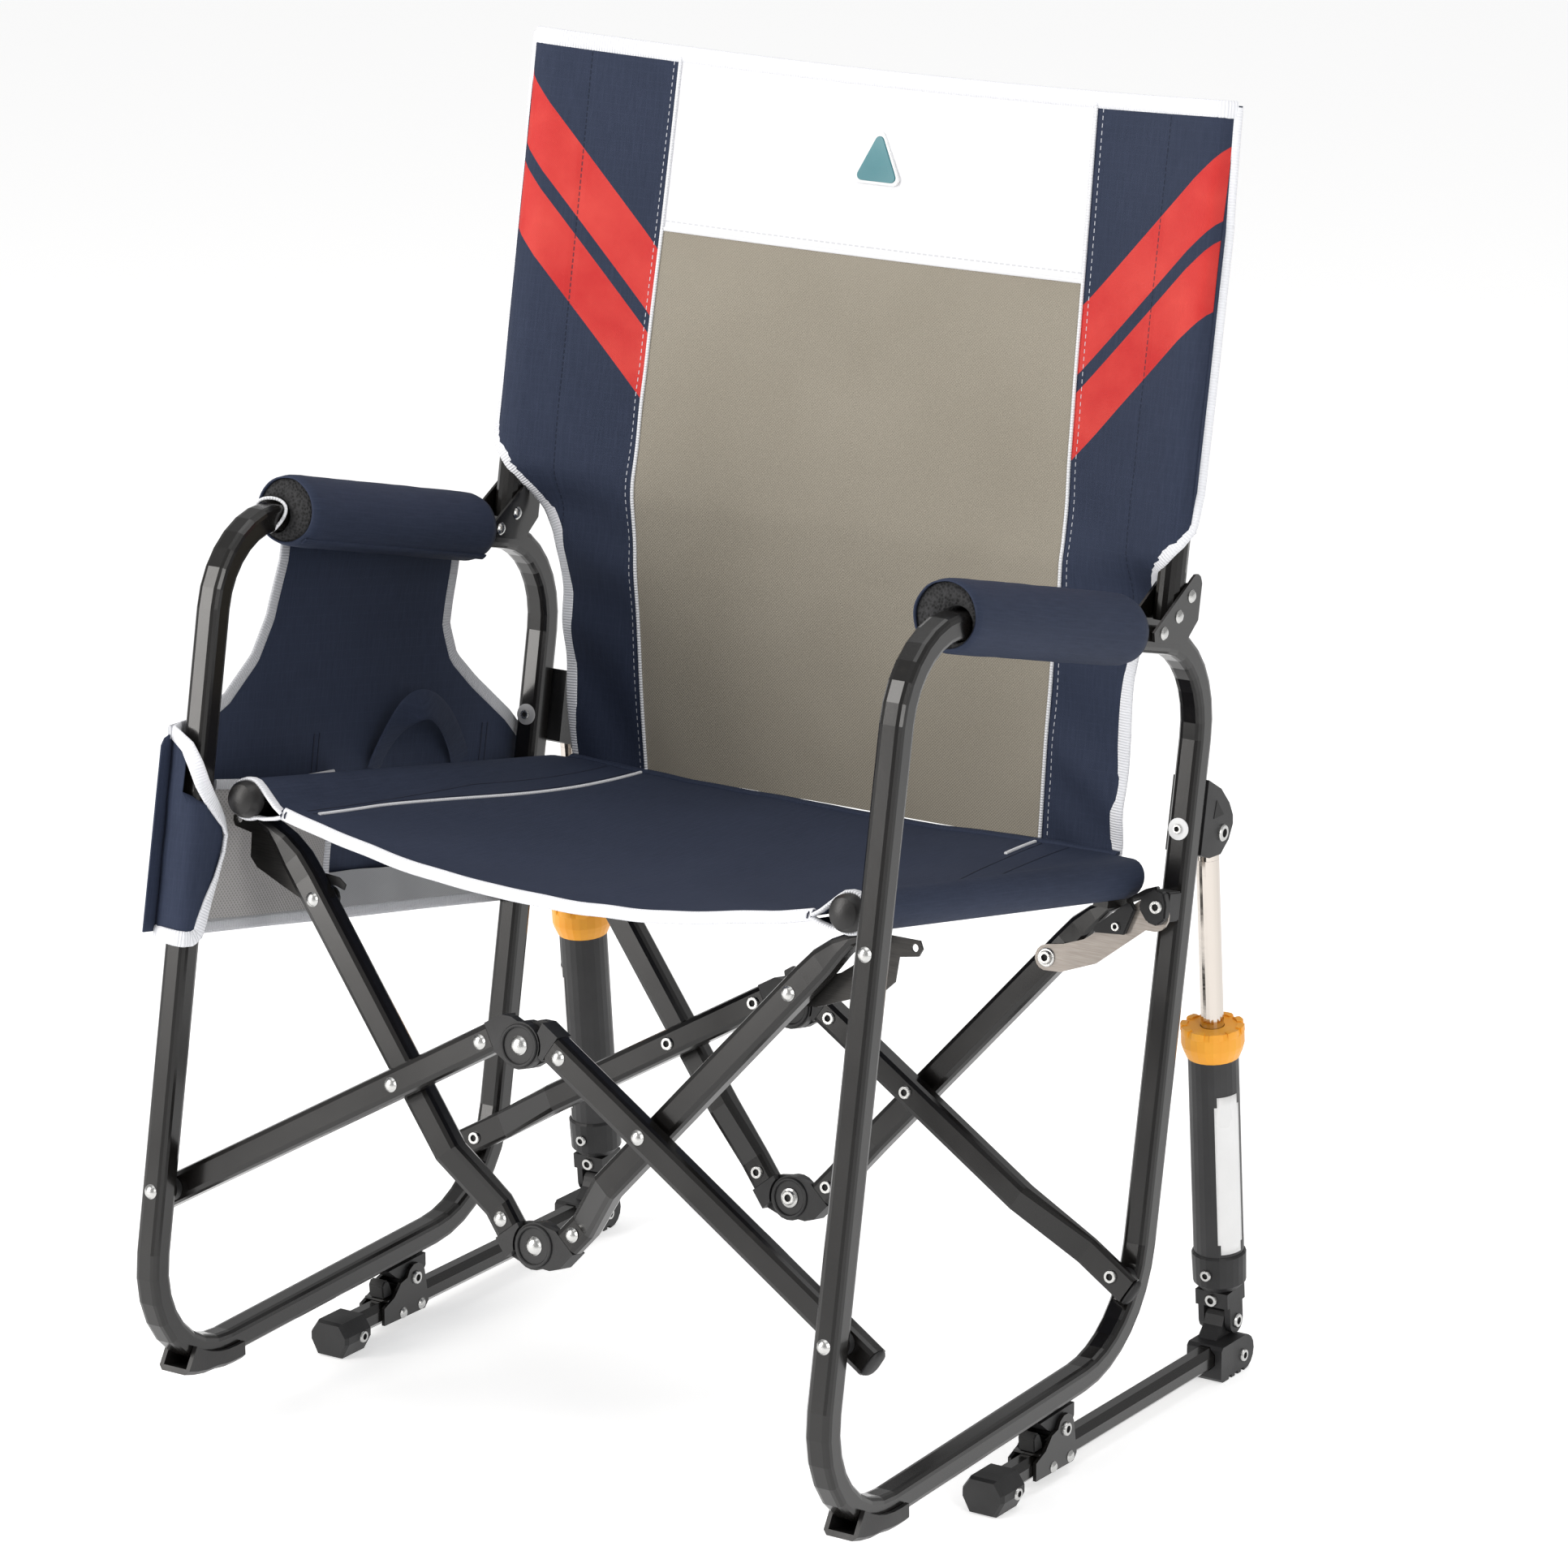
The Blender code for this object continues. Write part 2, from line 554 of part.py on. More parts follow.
def corner_plate(place, low, high, lean):
    """Flat steel plate that steadies a seat bar from the leg."""
    x, z = BAR_PLATE
    u, w = PLATE_PIVOT
    if place == "front":
        outer = [(0.2440, 0.2180), (0.2500, 0.2240), (0.2510, 0.2400), (u + 0.0030, 0.2425),
                 (u + 0.0055, w), (u + 0.0030, 0.2525), (0.2420, 0.2525)]
    else:
        outer = [(0.2560, 0.2370), *arc((u, w), 0.0105, -80, 100, 8), (0.2500, 0.2560)]
    outline = [*arc((x, z), 0.0088, 100, 262, 7), (0.1960, 0.1990), (0.2215, 0.2088), *outer,
               (0.2380, 0.2462), (0.2185, 0.2290), (0.2110, 0.2235), (0.1960, 0.2180)]
    for label, side in (("right", 1), ("left", -1)):
        obj = add(f"{place}_plate_{label}", prism(outline, "y", low, high), "plate", lean,
                  (u, low, w), side)
        hole = prism(circle(0.0026, 12, (u, w)), "y", low - 0.01, high + 0.01)
        combine(obj, hole, "DIFFERENCE", lean, side=side)


def seat_rail(label, side, lean):
    ends = [(RAIL_X, 0.0155, RAIL_Z), (RAIL_X, 0.3500, RAIL_Z)]
    add(f"seat_rail_{label}", sweep(ends, circle(RAIL_R, 16), (0, 0, 1)), "frame", lean,
        (CROSSING[0], 0.0155, CROSSING[1]), side)


# ---------------------------------------------------------------- fabric

def seat_half(label, side, lean):
    """Half of the hammock seat between the rails, lowest at the front of the middle, thin."""
    rows = []
    for r in range(7):
        y = mix(0.021, 0.364, r / 6)
        row = []
        for c in range(9):
            x = mix(0.0006, 0.2190, c / 8)
            front = 0.236 + 0.025 * (x / 0.205) ** 2
            row.append((x, y, mix(front, 0.276, (r / 6) ** 1.6)))
        rows.append(row)
    add(f"seat_{label}", sheet(rows, 0.004, (0, 0, 1)), "fabric", lean,
        (CROSSING[0], 0.021, CROSSING[1]), side)


def back_half(label, side, lean):
    """Half of the back rest between the uprights, narrower below the armrests."""
    profile = [(0.2810, 0.3775, 0.2145), (0.3630, 0.3630, 0.2205), (0.4210, 0.3520, 0.2245),
               (0.4710, 0.3440, 0.2450), (0.5000, 0.3430, 0.2500), (0.6500, 0.3410, 0.2505),
               (0.7820, 0.3360, 0.2505)]  # z, y, half width
    rows = [[(mix(0.0006, width, c / 5), y, z) for c in range(6)] for z, y, width in profile]
    add(f"back_{label}", sheet(rows, 0.004, (0, -1, 0)), "mesh", lean, (LEG_X, BACK_Y, 0.5), side)


def side_panel(lean):
    """Storage panel hung from the left armrest, outside the left side frame."""
    profile = [(0.1720, -0.022, 0.405), (0.2400, -0.020, 0.406), (0.2900, -0.016, 0.398),
               (0.3270, 0.030, 0.340), (0.3700, 0.070, 0.294), (0.4080, 0.092, 0.294)]
    rows = [[(-0.2760, mix(front, rear, c / 5), z) for c in range(6)]
            for z, front, rear in profile]
    add("side_panel", sheet(rows, 0.003, (1, 0, 0)), "fabric", lean, (-0.2760, 0.1, 0.435))


# ---------------------------------------------------------------- assembly

def build():
    clear_scene()
    chair = empty("chair", (0, FRONT_Y, 0))
    lean = empty("lean", LEAN_ORIGIN, chair, -LEAN)
    stroke = (PISTON_HEAD[0] - PISTON_FOOT[0], PISTON_HEAD[1] - PISTON_FOOT[1])
    length = sqrt(stroke[0] ** 2 + stroke[1] ** 2)
    tilt = atan2(-stroke[0], stroke[1])
    for label, side in (("right", 1), ("left", -1)):
        for piece in (side_frame, foot_shoe, back_upright, arm_bracket, arm_pad, piston_head,
                      seat_rail, seat_half, back_half):
            piece(label, side, lean)
        for piece in (pivot_lug, base_rail, base_cap, base_socket, base_bracket):
            piece(label, side, chair)
        foot = empty(f"piston_foot_{label}", (side * PISTON_X, *PISTON_FOOT), chair, tilt)
        piston(label, side, foot, length)
    cross_links("front", (0.0150, 0.0310), None, lean)
    cross_links("rear", (0.3430, 0.3590), (0.3590, 0.3668), lean)
    seat_bars("front", (0.0330, 0.0490), (0.0555, 0.0695),
              [((0.2045, 0.2303), 0.0410, 0.0190, 0.0165), ((0.2150, 0.2408), 0.0410, 0.0140, 0.0175),
               ((0.2240, 0.2475), 0.0410, 0.0090, 0.0180),
               ((0.2325, 0.2512), 0.0410, 0.0075, 0.0180)], lean)
    seat_bars("rear", (0.3620, 0.3780), (0.3670, 0.3800),
              [((0.2045, 0.2303), 0.3680, 0.0190, 0.0150), ((0.2150, 0.2408), 0.3648, 0.0140, 0.0095),
               ((0.2240, 0.2475), 0.36415, 0.0090, 0.0082),
               ((0.2325, 0.2512), 0.36415, 0.0075, 0.0082)], lean)
    corner_plate("front", 0.0505, 0.0525, lean)
    corner_plate("rear", 0.3575, 0.3595, lean)
    side_panel(lean)


build()
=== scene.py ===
"""Looks of a folding camp rocking chair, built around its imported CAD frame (metres, +Z up)."""

from math import atan2, cos, pi, radians, sin, sqrt

import bmesh
import bpy
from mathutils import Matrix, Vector, noise


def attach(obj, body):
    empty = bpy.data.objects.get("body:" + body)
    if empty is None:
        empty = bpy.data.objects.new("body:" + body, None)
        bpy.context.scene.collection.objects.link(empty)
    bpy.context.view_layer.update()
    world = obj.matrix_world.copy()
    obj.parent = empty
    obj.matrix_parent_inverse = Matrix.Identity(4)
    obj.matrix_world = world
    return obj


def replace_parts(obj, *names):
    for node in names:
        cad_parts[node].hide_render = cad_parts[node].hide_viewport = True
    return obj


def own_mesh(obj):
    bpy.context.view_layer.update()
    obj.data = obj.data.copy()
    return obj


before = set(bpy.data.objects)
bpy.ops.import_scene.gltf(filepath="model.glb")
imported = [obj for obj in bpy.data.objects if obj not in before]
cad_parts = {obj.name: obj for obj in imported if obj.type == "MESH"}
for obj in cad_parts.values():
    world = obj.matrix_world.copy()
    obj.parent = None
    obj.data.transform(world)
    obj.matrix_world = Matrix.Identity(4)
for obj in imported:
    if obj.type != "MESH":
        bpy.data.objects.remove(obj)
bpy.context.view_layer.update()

# ---------------- places

FRONT_Y = -0.263
LEAN = radians(10.5)
LEG_X = 0.262
SIDES = (("right", 1), ("left", -1))
RAIL = (0.2325, 0.267, 0.011)    # x, z, radius of the seat rails
TUBE_HALF = 0.009                # half the width of a side frame's square tube
UPRIGHT = (0.33, 0.0095)        # depth of the back uprights, radius
PISTON_FOOT, PISTON_TOP = (0.518, 0.0355), (0.4834, 0.3909)    # (y, z) of a piston's pins
PISTON_TILT = atan2(PISTON_FOOT[0] - PISTON_TOP[0], PISTON_TOP[1] - PISTON_FOOT[1])
PISTON_LENGTH = sqrt((PISTON_FOOT[0] - PISTON_TOP[0]) ** 2 + (PISTON_TOP[1] - PISTON_FOOT[1]) ** 2)


def lean(x, y, z):
    """A point of the leaning side frames: across, rearwards, along the legs."""
    return Vector((x, FRONT_Y + 0.01 + cos(LEAN) * y + sin(LEAN) * z,
                   0.173 - sin(LEAN) * y + cos(LEAN) * z))


def lean_way(x, y, z):
    return lean(x, y, z) - lean(0, 0, 0)


def chair(x, y, z):
    """A point of the upright frame the base rails and pistons are placed in."""
    return Vector((x, FRONT_Y + y, z))


def piston(side, x, y, z):
    """A point drawn about a piston's lower pin, z along its stroke."""
    back = -sin(PISTON_TILT) * z + cos(PISTON_TILT) * y
    up = cos(PISTON_TILT) * z + sin(PISTON_TILT) * y
    return chair(side * 0.2575 + x, PISTON_FOOT[0] + back, PISTON_FOOT[1] + up)


def body_of(kind, label):
    """Name of the body that carries a kind of part on one side."""
    if kind == "side":
        return "root" if label == "right" else "side_left"
    return f"{kind}_{label}_body"


def mix(a, b, t):
    return a + (b - a) * t


def smooth(t):
    t = max(0.0, min(1.0, t))
    return t * t * (3 - 2 * t)


def along(table, key):
    """Value at key, on straight lines between (key, value) rows in rising order of key."""
    if key <= table[0][0]:
        return table[0][1]
    for (k0, v0), (k1, v1) in zip(table, table[1:]):
        if key <= k1:
            return mix(v0, v1, (key - k0) / (k1 - k0))
    return table[-1][1]


# ---------------- materials

class Nodes:
    """Short hand for a material's node tree; input names use _ for a space, i0 for a number."""

    def __init__(self, name, colour, roughness=0.5, metallic=0.0, **sockets):
        self.mat = bpy.data.materials.new(name)
        self.mat.use_nodes = True
        self.tree = self.mat.node_tree
        self.shader = self.tree.nodes["Principled BSDF"]
        self.shader.inputs["Base Color"].default_value = (*colour, 1)
        self.shader.inputs["Roughness"].default_value = roughness
        self.shader.inputs["Metallic"].default_value = metallic
        for key, value in sockets.items():
            self.shader.inputs[key.replace("_", " ")].default_value = value
        self.bumped = None

    def add(self, kind, **inputs):
        node = self.tree.nodes.new("ShaderNode" + kind)
        for key, value in inputs.items():
            self.put(node, key, value)
        return node

    def put(self, node, key, value):
        key = int(key[1:]) if key[:1] == "i" and key[1:].isdigit() else key.replace("_", " ")
        if isinstance(value, bpy.types.NodeSocket):
            self.tree.links.new(value, node.inputs[key])
        else:
            node.inputs[key].default_value = value

    def math(self, operation, a, b=0.0):
        node = self.add("Math", i0=a, i1=b)
        node.operation = operation
        return node.outputs[0]

    def place(self, uv=False):
        return self.add("TexCoord").outputs["UV" if uv else "Object"]

    def split(self, vector):
        node = self.add("SeparateXYZ", i0=vector)
        return node.outputs[0], node.outputs[1], node.outputs[2]

    def noise(self, scale, detail=2.0, place=None):
        node = self.add("TexNoise", Vector=place or self.place(), Scale=scale, Detail=detail)
        return node.outputs["Fac"]

    def streaks(self, parts, scales, detail):
        """Noise over coordinates that are each stretched by their own scale."""
        scaled = [self.math("MULTIPLY", part, scale) for part, scale in zip(parts, scales)]
        node = self.add("CombineXYZ", **{f"i{k}": part for k, part in enumerate(scaled)})
        return self.noise(1.0, detail, node.outputs[0])

    def ramp(self, value, low, high, lo=0.0, hi=1.0):
        node = self.add("MapRange", i0=value, i1=low, i2=high, i3=lo, i4=hi)
        return node.outputs[0]

    def blend(self, share, a, b):
        node = self.add("Mix")
        node.data_type = "RGBA"
        self.put(node, "i0", share)
        for key, value in ((6, a), (7, b)):
            if isinstance(value, bpy.types.NodeSocket):
                self.tree.links.new(value, node.inputs[key])
            else:
                node.inputs[key].default_value = (*value, 1)
        return node.outputs[2]

    def bump(self, height, strength, distance):
        node = self.add("Bump", Strength=strength, Distance=distance, Height=height)
        if self.bumped:
            self.put(node, "Normal", self.bumped)
        self.bumped = node.outputs[0]
        self.put(self.shader, "Normal", self.bumped)

    def colour(self, socket):
        self.put(self.shader, "Base Color", socket)

    def rough(self, socket):
        self.put(self.shader, "Roughness", socket)


def powder_coat():
    """Glossy black paint with a faint orange peel."""
    black, worn = (0.005, 0.0044, 0.004), (0.012, 0.0105, 0.009)
    n = Nodes("gloss_black_tube", black, 0.22, 0.0, Coat_Weight=0.25,
              Coat_Roughness=0.1, Specular_IOR_Level=0.4)
    n.bump(n.noise(420, 2), 0.04, 0.0004)
    n.rough(n.ramp(n.noise(14, 5), 0.3, 0.75, 0.18, 0.28))
    n.colour(n.blend(n.ramp(n.noise(60, 4), 0.62, 0.8), black, worn))
    return n.mat


def moulded(name, colour, light, roughness=0.46, grain=900):
    n = Nodes(name, colour, roughness, 0.0, Specular_IOR_Level=0.42)
    n.bump(n.noise(grain, 3), 0.25, 0.0004)
    n.colour(n.blend(n.ramp(n.noise(40, 4), 0.35, 0.8), colour, light))
    n.rough(n.ramp(n.noise(25, 3), 0.3, 0.7, roughness - 0.05, roughness + 0.09))
    return n.mat


def plate_steel(name, colour, light):
    """Sheet steel with a fine level grain."""
    n = Nodes(name, colour, 0.36, 0.55)
    grain = n.streaks(n.split(n.place()), (60, 60, 1400), 3)
    n.colour(n.blend(n.ramp(grain, 0.3, 0.7), colour, light))
    n.rough(n.ramp(n.noise(60, 4), 0.3, 0.7, 0.3, 0.44))
    n.bump(grain, 0.08, 0.0003)
    return n.mat


def zinc():
    n = Nodes("zinc_rivet", (0.55, 0.55, 0.54), 0.24, 1.0)
    n.rough(n.ramp(n.noise(900, 3), 0.3, 0.7, 0.18, 0.34))
    n.bump(n.noise(1500, 2), 0.12, 0.0002)
    return n.mat


def chrome():
    n = Nodes("polished_rod", (0.62, 0.57, 0.52), 0.1, 1.0)
    n.rough(n.ramp(n.streaks(n.split(n.place()), (20, 20, 900), 2), 0.3, 0.7, 0.07, 0.15))
    return n.mat


def foam():
    n = Nodes("black_foam", (0.012, 0.012, 0.013), 0.95)
    cells = n.add("TexVoronoi", Vector=n.place(), Scale=520.0).outputs["Distance"]
    n.colour(n.blend(n.ramp(cells, 0.1, 0.7), (0.003, 0.003, 0.003), (0.034, 0.034, 0.036)))
    n.bump(cells, 0.8, 0.0012)
    return n.mat


def weave(n, u, v, pitch, strength, distance=0.0003):
    """Plain weave: warp and weft threads as two crossed waves."""
    waves = [n.math("SINE", n.math("MULTIPLY", way, 2 * pi / pitch)) for way in (u, v)]
    threads = n.math("MULTIPLY", *waves)
    n.bump(threads, strength, distance)
    return threads


def line(n, value, at, width):
    """1 within width of a value, else 0."""
    return n.math("LESS_THAN", n.math("ABSOLUTE", n.math("SUBTRACT", value, at)), width)


def dashes(n, value, pitch, share):
    """1 over the first share of every pitch, else 0."""
    return n.math("LESS_THAN", n.math("FRACT", n.math("DIVIDE", value, pitch)), share)


NAVY, NAVY_LIGHT = (0.0185, 0.0265, 0.052), (0.03, 0.04, 0.074)
RED, RED_LIGHT = (0.5, 0.014, 0.014), (0.62, 0.05, 0.038)


def navy_cloth(n, u, v, uv):
    """Navy woven polyester with faint ripstop lines and slubs."""
    weave(n, u, v, 0.0011, 0.3)
    rip = n.math("MAXIMUM", dashes(n, u, 0.0062, 0.1), dashes(n, v, 0.0062, 0.1))
    slub = n.streaks((u, v), (900, 60), 4)
    tone = n.math("ADD", n.math("MULTIPLY", rip, 0.22), n.ramp(slub, 0.35, 0.75, 0.0, 0.55))
    tone = n.math("ADD", tone, n.ramp(n.noise(9, 4, uv), 0.35, 0.7, 0.0, 0.35))
    return n.blend(tone, NAVY, NAVY_LIGHT)


def navy(name="navy_cloth", object_space=False):
    """Navy cloth laid out by its UV, or by place where a piece has none of its own."""
    n = Nodes(name, NAVY, 0.8, Specular_IOR_Level=0.28)
    place = n.place(not object_space)
    u, v, w = n.split(place)
    if object_space:
        u = n.math("ADD", u, n.math("MULTIPLY", w, 0.7))
    n.colour(navy_cloth(n, u, v, place))
    return n.mat


def band_cloth():
    """Side band of the back: navy with two slanting red stripes and rows of stitching."""
    n = Nodes("band_cloth", NAVY, 0.76, Specular_IOR_Level=0.28)
    uv = n.place(True)
    u, v, _ = n.split(uv)
    cloth = navy_cloth(n, u, v, uv)
    slant = n.math("SUBTRACT", v, n.math("MULTIPLY", u, 1.07))
    stripe = n.math("MAXIMUM", line(n, slant, 0.4385, 0.0238), line(n, slant, 0.379, 0.0232))
    stripe = n.math("MULTIPLY", stripe, n.math("LESS_THAN", u, 0.2735))
    seam_x = 0.227
    red = n.blend(n.ramp(n.noise(22, 4, uv), 0.3, 0.75), RED, RED_LIGHT)
    look = n.blend(stripe, cloth, red)
    seam = n.math("MULTIPLY", line(n, u, seam_x, 0.0005), dashes(n, v, 0.0042, 0.68))
    look = n.blend(n.math("MULTIPLY", seam, 0.75), look, (0.008, 0.012, 0.026))
    edge = n.add("Attribute")
    edge.attribute_name = "from_edge"
    white = n.math("MULTIPLY", line(n, edge.outputs["Fac"], 0.0052, 0.00028), dashes(n, v, 0.005, 0.55))
    look = n.blend(white, look, (0.5, 0.51, 0.55))
    n.colour(look)
    pucker = n.math("ADD", n.ramp(n.math("ABSOLUTE", n.math("SUBTRACT", u, seam_x)), 0, 0.004),
                    n.math("MULTIPLY", seam, -0.4))
    n.bump(pucker, 0.35, 0.001)
    n.rough(n.ramp(stripe, 0.0, 1.0, 0.8, 0.5))
    return n.mat


def mesh_cloth(name, low, high, pitch, hole=0.35):
    """Open mesh: a grid of small dark holes between crossing threads."""
    n = Nodes(name, low, 0.82, Specular_IOR_Level=0.25)
    uv = n.place(True)
    u, v, _ = n.split(uv)
    cells = weave(n, u, v, pitch, 0.35, 0.0004)
    tone = n.ramp(n.noise(7, 5, uv), 0.3, 0.72, 0.0, 1.0)
    cloth = n.blend(tone, low, high)
    n.colour(n.blend(n.ramp(cells, 0.2, 0.9, 0.0, hole), cloth, [c * 0.45 for c in low]))
    return n.mat


def white_cloth():
    """White woven cloth with a row of stitches along the head panel's lower edge."""
    tint = (0.76, 0.765, 0.785)
    n = Nodes("white_cloth", tint, 0.7, Sheen_Weight=0.1, Sheen_Roughness=0.5)
    uv = n.place(True)
    u, v, _ = n.split(uv)
    weave(n, u, v, 0.0012, 0.22)
    stitch = n.math("MULTIPLY", line(n, v, 0.6625, 0.0005), dashes(n, u, 0.0046, 0.65))
    cloth = n.blend(n.ramp(n.noise(12, 4, uv), 0.35, 0.7), tint, [c * 0.955 for c in tint])
    n.colour(n.blend(n.math("MULTIPLY", stitch, 0.6), cloth, (0.45, 0.46, 0.5)))
    return n.mat


def binding_tape(name, tint):
    """Edge tape with cross ribs along its length."""
    n = Nodes(name, tint, 0.74, Sheen_Weight=0.15, Sheen_Roughness=0.5)
    u, _, _ = n.split(n.place(True))
    ribs = n.math("SINE", n.math("MULTIPLY", u, 2 * pi / 0.0019))
    n.bump(ribs, 0.5, 0.0005)
    shade = n.ramp(ribs, -1, 0.2, 0.26, 0.0)
    n.colour(n.blend(shade, tint, [c * 0.66 for c in tint]))
    return n.mat


M = {
    "frame": powder_coat(),
    "plastic": moulded("charcoal_plastic", (0.011, 0.011, 0.0115), (0.021, 0.021, 0.022)),
    "shoe": moulded("shoe_plastic", (0.009, 0.0085, 0.0085), (0.017, 0.016, 0.016), 0.38),
    "front_plate": plate_steel("dark_plate_steel", (0.018, 0.017, 0.016), (0.034, 0.032, 0.03)),
    "rear_plate": plate_steel("grey_plate_steel", (0.3, 0.265, 0.235), (0.4, 0.36, 0.325)),
    "cylinder": moulded("cylinder_paint", (0.023, 0.023, 0.024), (0.031, 0.031, 0.032), 0.44, 1400),
    "collar": moulded("yellow_plastic", (0.86, 0.345, 0.018), (0.9, 0.42, 0.035), 0.38, 700),
    "rod": chrome(),
    "zinc": zinc(),
    "foam": foam(),
    # Black rubber for the stops; the same black is also painted shade in the screw and head recesses.
    "rubber": moulded("black_rubber_and_recess_shade", (0.01, 0.01, 0.01), (0.018, 0.018, 0.018), 0.62, 600),
    "navy": navy(),
    "navy_solid": navy("navy_tape", True),
    "band": band_cloth(),
    "mesh": mesh_cloth("taupe_mesh", (0.275, 0.248, 0.2), (0.315, 0.286, 0.234), 0.0021),
    "pocket": mesh_cloth("grey_pocket_mesh", (0.3, 0.29, 0.285), (0.4, 0.39, 0.385), 0.0032, 0.75),
    "lining": mesh_cloth("grey_lining", (0.3, 0.305, 0.315), (0.37, 0.375, 0.385), 0.0014, 0.2),
    "white": white_cloth(),
    "tape": binding_tape("white_binding", (0.83, 0.84, 0.88)),
    "grey_tape": binding_tape("grey_binding", (0.52, 0.53, 0.56)),
    "cord": binding_tape("white_piping", (0.8, 0.81, 0.84)),
    "thread": moulded("dark_thread", (0.01, 0.014, 0.03), (0.02, 0.025, 0.05), 0.8),
    "badge": moulded("badge_teal", (0.03, 0.165, 0.195), (0.04, 0.19, 0.22), 0.35),
    # A darker copy of the white washer for the left side: painted shade.
    "washer": moulded("grey_washer_painted_shade", (0.3, 0.3, 0.31), (0.36, 0.36, 0.37), 0.4),
    "badge_rim": moulded("badge_rim", (0.72, 0.73, 0.74), (0.8, 0.8, 0.8), 0.35),
    "sticker": moulded("blank_sticker", (0.78, 0.78, 0.78), (0.82, 0.82, 0.82), 0.3, 300),
}

LOOK_OF = {
    "foot_shoe": "shoe", "front_plate": "front_plate", "rear_plate": "rear_plate",
    "piston_cylinder": "cylinder", "piston_collar": "collar", "piston_rod": "rod",
}
for part in ("side_frame", "back_upright", "arm_bracket", "base_rail", "base_bracket", "front_link",
             "rear_link", "front_seat_bar", "rear_seat_bar", "seat_rail"):
    LOOK_OF[part] = "frame"
for name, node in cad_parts.items():
    look = LOOK_OF.get(name.rsplit("_", 1)[0], "plastic")
    node.data.materials.clear()
    node.data.materials.append(M[look])


# ---------------- shape helpers

def make(name, verts, faces, look, uvs=None, edge=None):
    """Object from vertices and faces; uvs and edge hold one value per vertex."""
    mesh = bpy.data.meshes.new(name)
    mesh.from_pydata([tuple(v) for v in verts], [], faces)
    mesh.materials.append(M[look])
    if uvs:
        layer = mesh.uv_layers.new(name="UVMap")
        for loop in mesh.loops:
            layer.data[loop.index].uv = uvs[loop.vertex_index]
    if edge:
        layer = mesh.attributes.new("from_edge", "FLOAT", "POINT")
        layer.data.foreach_set("value", edge)
    mesh.shade_smooth()
    obj = bpy.data.objects.new(name, mesh)
    bpy.context.scene.collection.objects.link(obj)
    return obj


def outward(obj):
    """Turn all faces of a closed shape outwards."""
    shape = bmesh.new()
    shape.from_mesh(obj.data)
    bmesh.ops.recalc_face_normals(shape, faces=shape.faces)
    if shape.calc_volume(signed=True) < 0:
        bmesh.ops.reverse_faces(shape, faces=shape.faces)
    shape.to_mesh(obj.data)
    shape.free()
    return obj


def sharpen(obj, angle=34):
    obj.data.set_sharp_from_angle(angle=radians(angle))
    return obj


def skin(rings, steps, closed=False):
    """Quads between rings of steps points each; closed joins the last ring to the first."""
    faces = []
    for r in range(rings if closed else rings - 1):
        low, high = r * steps, (r + 1) % rings * steps
        for k in range(steps):
            j = (k + 1) % steps
            faces.append((low + k, low + j, high + j, high + k))
    return faces


def grid(rows, cols, place):
    """Rows of place(share up, share across)."""
    return [[place(r / rows, c / cols) for c in range(cols + 1)] for r in range(rows + 1)]


def cloth(name, rows, look, thick=0.0009):
    """A thin closed sheet over rows of (point, uv) or (point, uv, distance from edge)."""
    height, width = len(rows), len(rows[0])
    cells = [cell for row in rows for cell in row]
    points = [cell[0] for cell in cells]
    half = []
    for r in range(height):
        for c in range(width):
            across = (points[r * width + min(c + 1, width - 1)] - points[r * width + max(c - 1, 0)])
            up = (points[min(r + 1, height - 1) * width + c] - points[max(r - 1, 0) * width + c])
            half.append(across.cross(up).normalized() * (thick / 2))
    verts = [p + n for p, n in zip(points, half)] + [p - n for p, n in zip(points, half)]
    count = height * width
    faces = []
    for r in range(height - 1):
        for c in range(width - 1):
            a, b = r * width + c, (r + 1) * width + c
            faces.append((a, a + 1, b + 1, b))
            faces.append((a + count, b + count, b + 1 + count, a + 1 + count))
    rim = [c for c in range(width)] + [r * width + width - 1 for r in range(1, height)]
    rim += [(height - 1) * width + c for c in range(width - 2, -1, -1)]
    rim += [r * width for r in range(height - 2, 0, -1)]
    for a, b in zip(rim, rim[1:] + rim[:1]):
        faces.append((b, a, a + count, b + count))
    edge = [cell[2] for cell in cells] * 2 if len(cells[0]) > 2 else None
    uvs = [cell[1] for cell in cells] * 2
    return sharpen(outward(make(name, verts, faces, look, uvs, edge)), 60)


def stops(steps, place):
    """Stops of a tape: place(share along it) gives a point and the way the tape faces."""
    return [place(k / steps) for k in range(steps + 1)]


def tape(name, path, section, look, closed=False):
    """Sweep a section of (across, up) pairs along stops; UV runs along it in metres."""
    points = [Vector(point) for point, _ in path]
    rings, size = len(points), len(section)
    verts, uvs = [], []
    travelled = 0.0
    for k, (point, facing) in enumerate(zip(points, [Vector(way) for _, way in path])):
        ahead = points[(k + 1) % rings] if closed else points[min(k + 1, rings - 1)]
        behind = points[k - 1] if closed else points[max(k - 1, 0)]
        way = (ahead - behind).normalized()
        up = (facing - way * facing.dot(way)).normalized()
        across = way.cross(up).normalized()
        if k:
            travelled += (point - points[k - 1]).length
        for j, (a, b) in enumerate(section):
            verts.append(point + across * a + up * b)
            uvs.append((travelled, j / size * 0.02))
    faces = skin(rings, size, closed)
    if not closed:
        faces.append(tuple(range(size))[::-1])
        faces.append(tuple((rings - 1) * size + j for j in range(size)))
    return sharpen(outward(make(name, verts, faces, look, uvs)), 75)


def oval(width, thick, steps=10):
    """Soft-cornered flat section."""
    points = []
    for k in range(steps):
        c, s = cos(2 * pi * k / steps), sin(2 * pi * k / steps)
        points.append((width / 2 * abs(c) ** 0.6 * (1 if c >= 0 else -1),
                       thick / 2 * abs(s) ** 0.8 * (1 if s >= 0 else -1)))
    return points


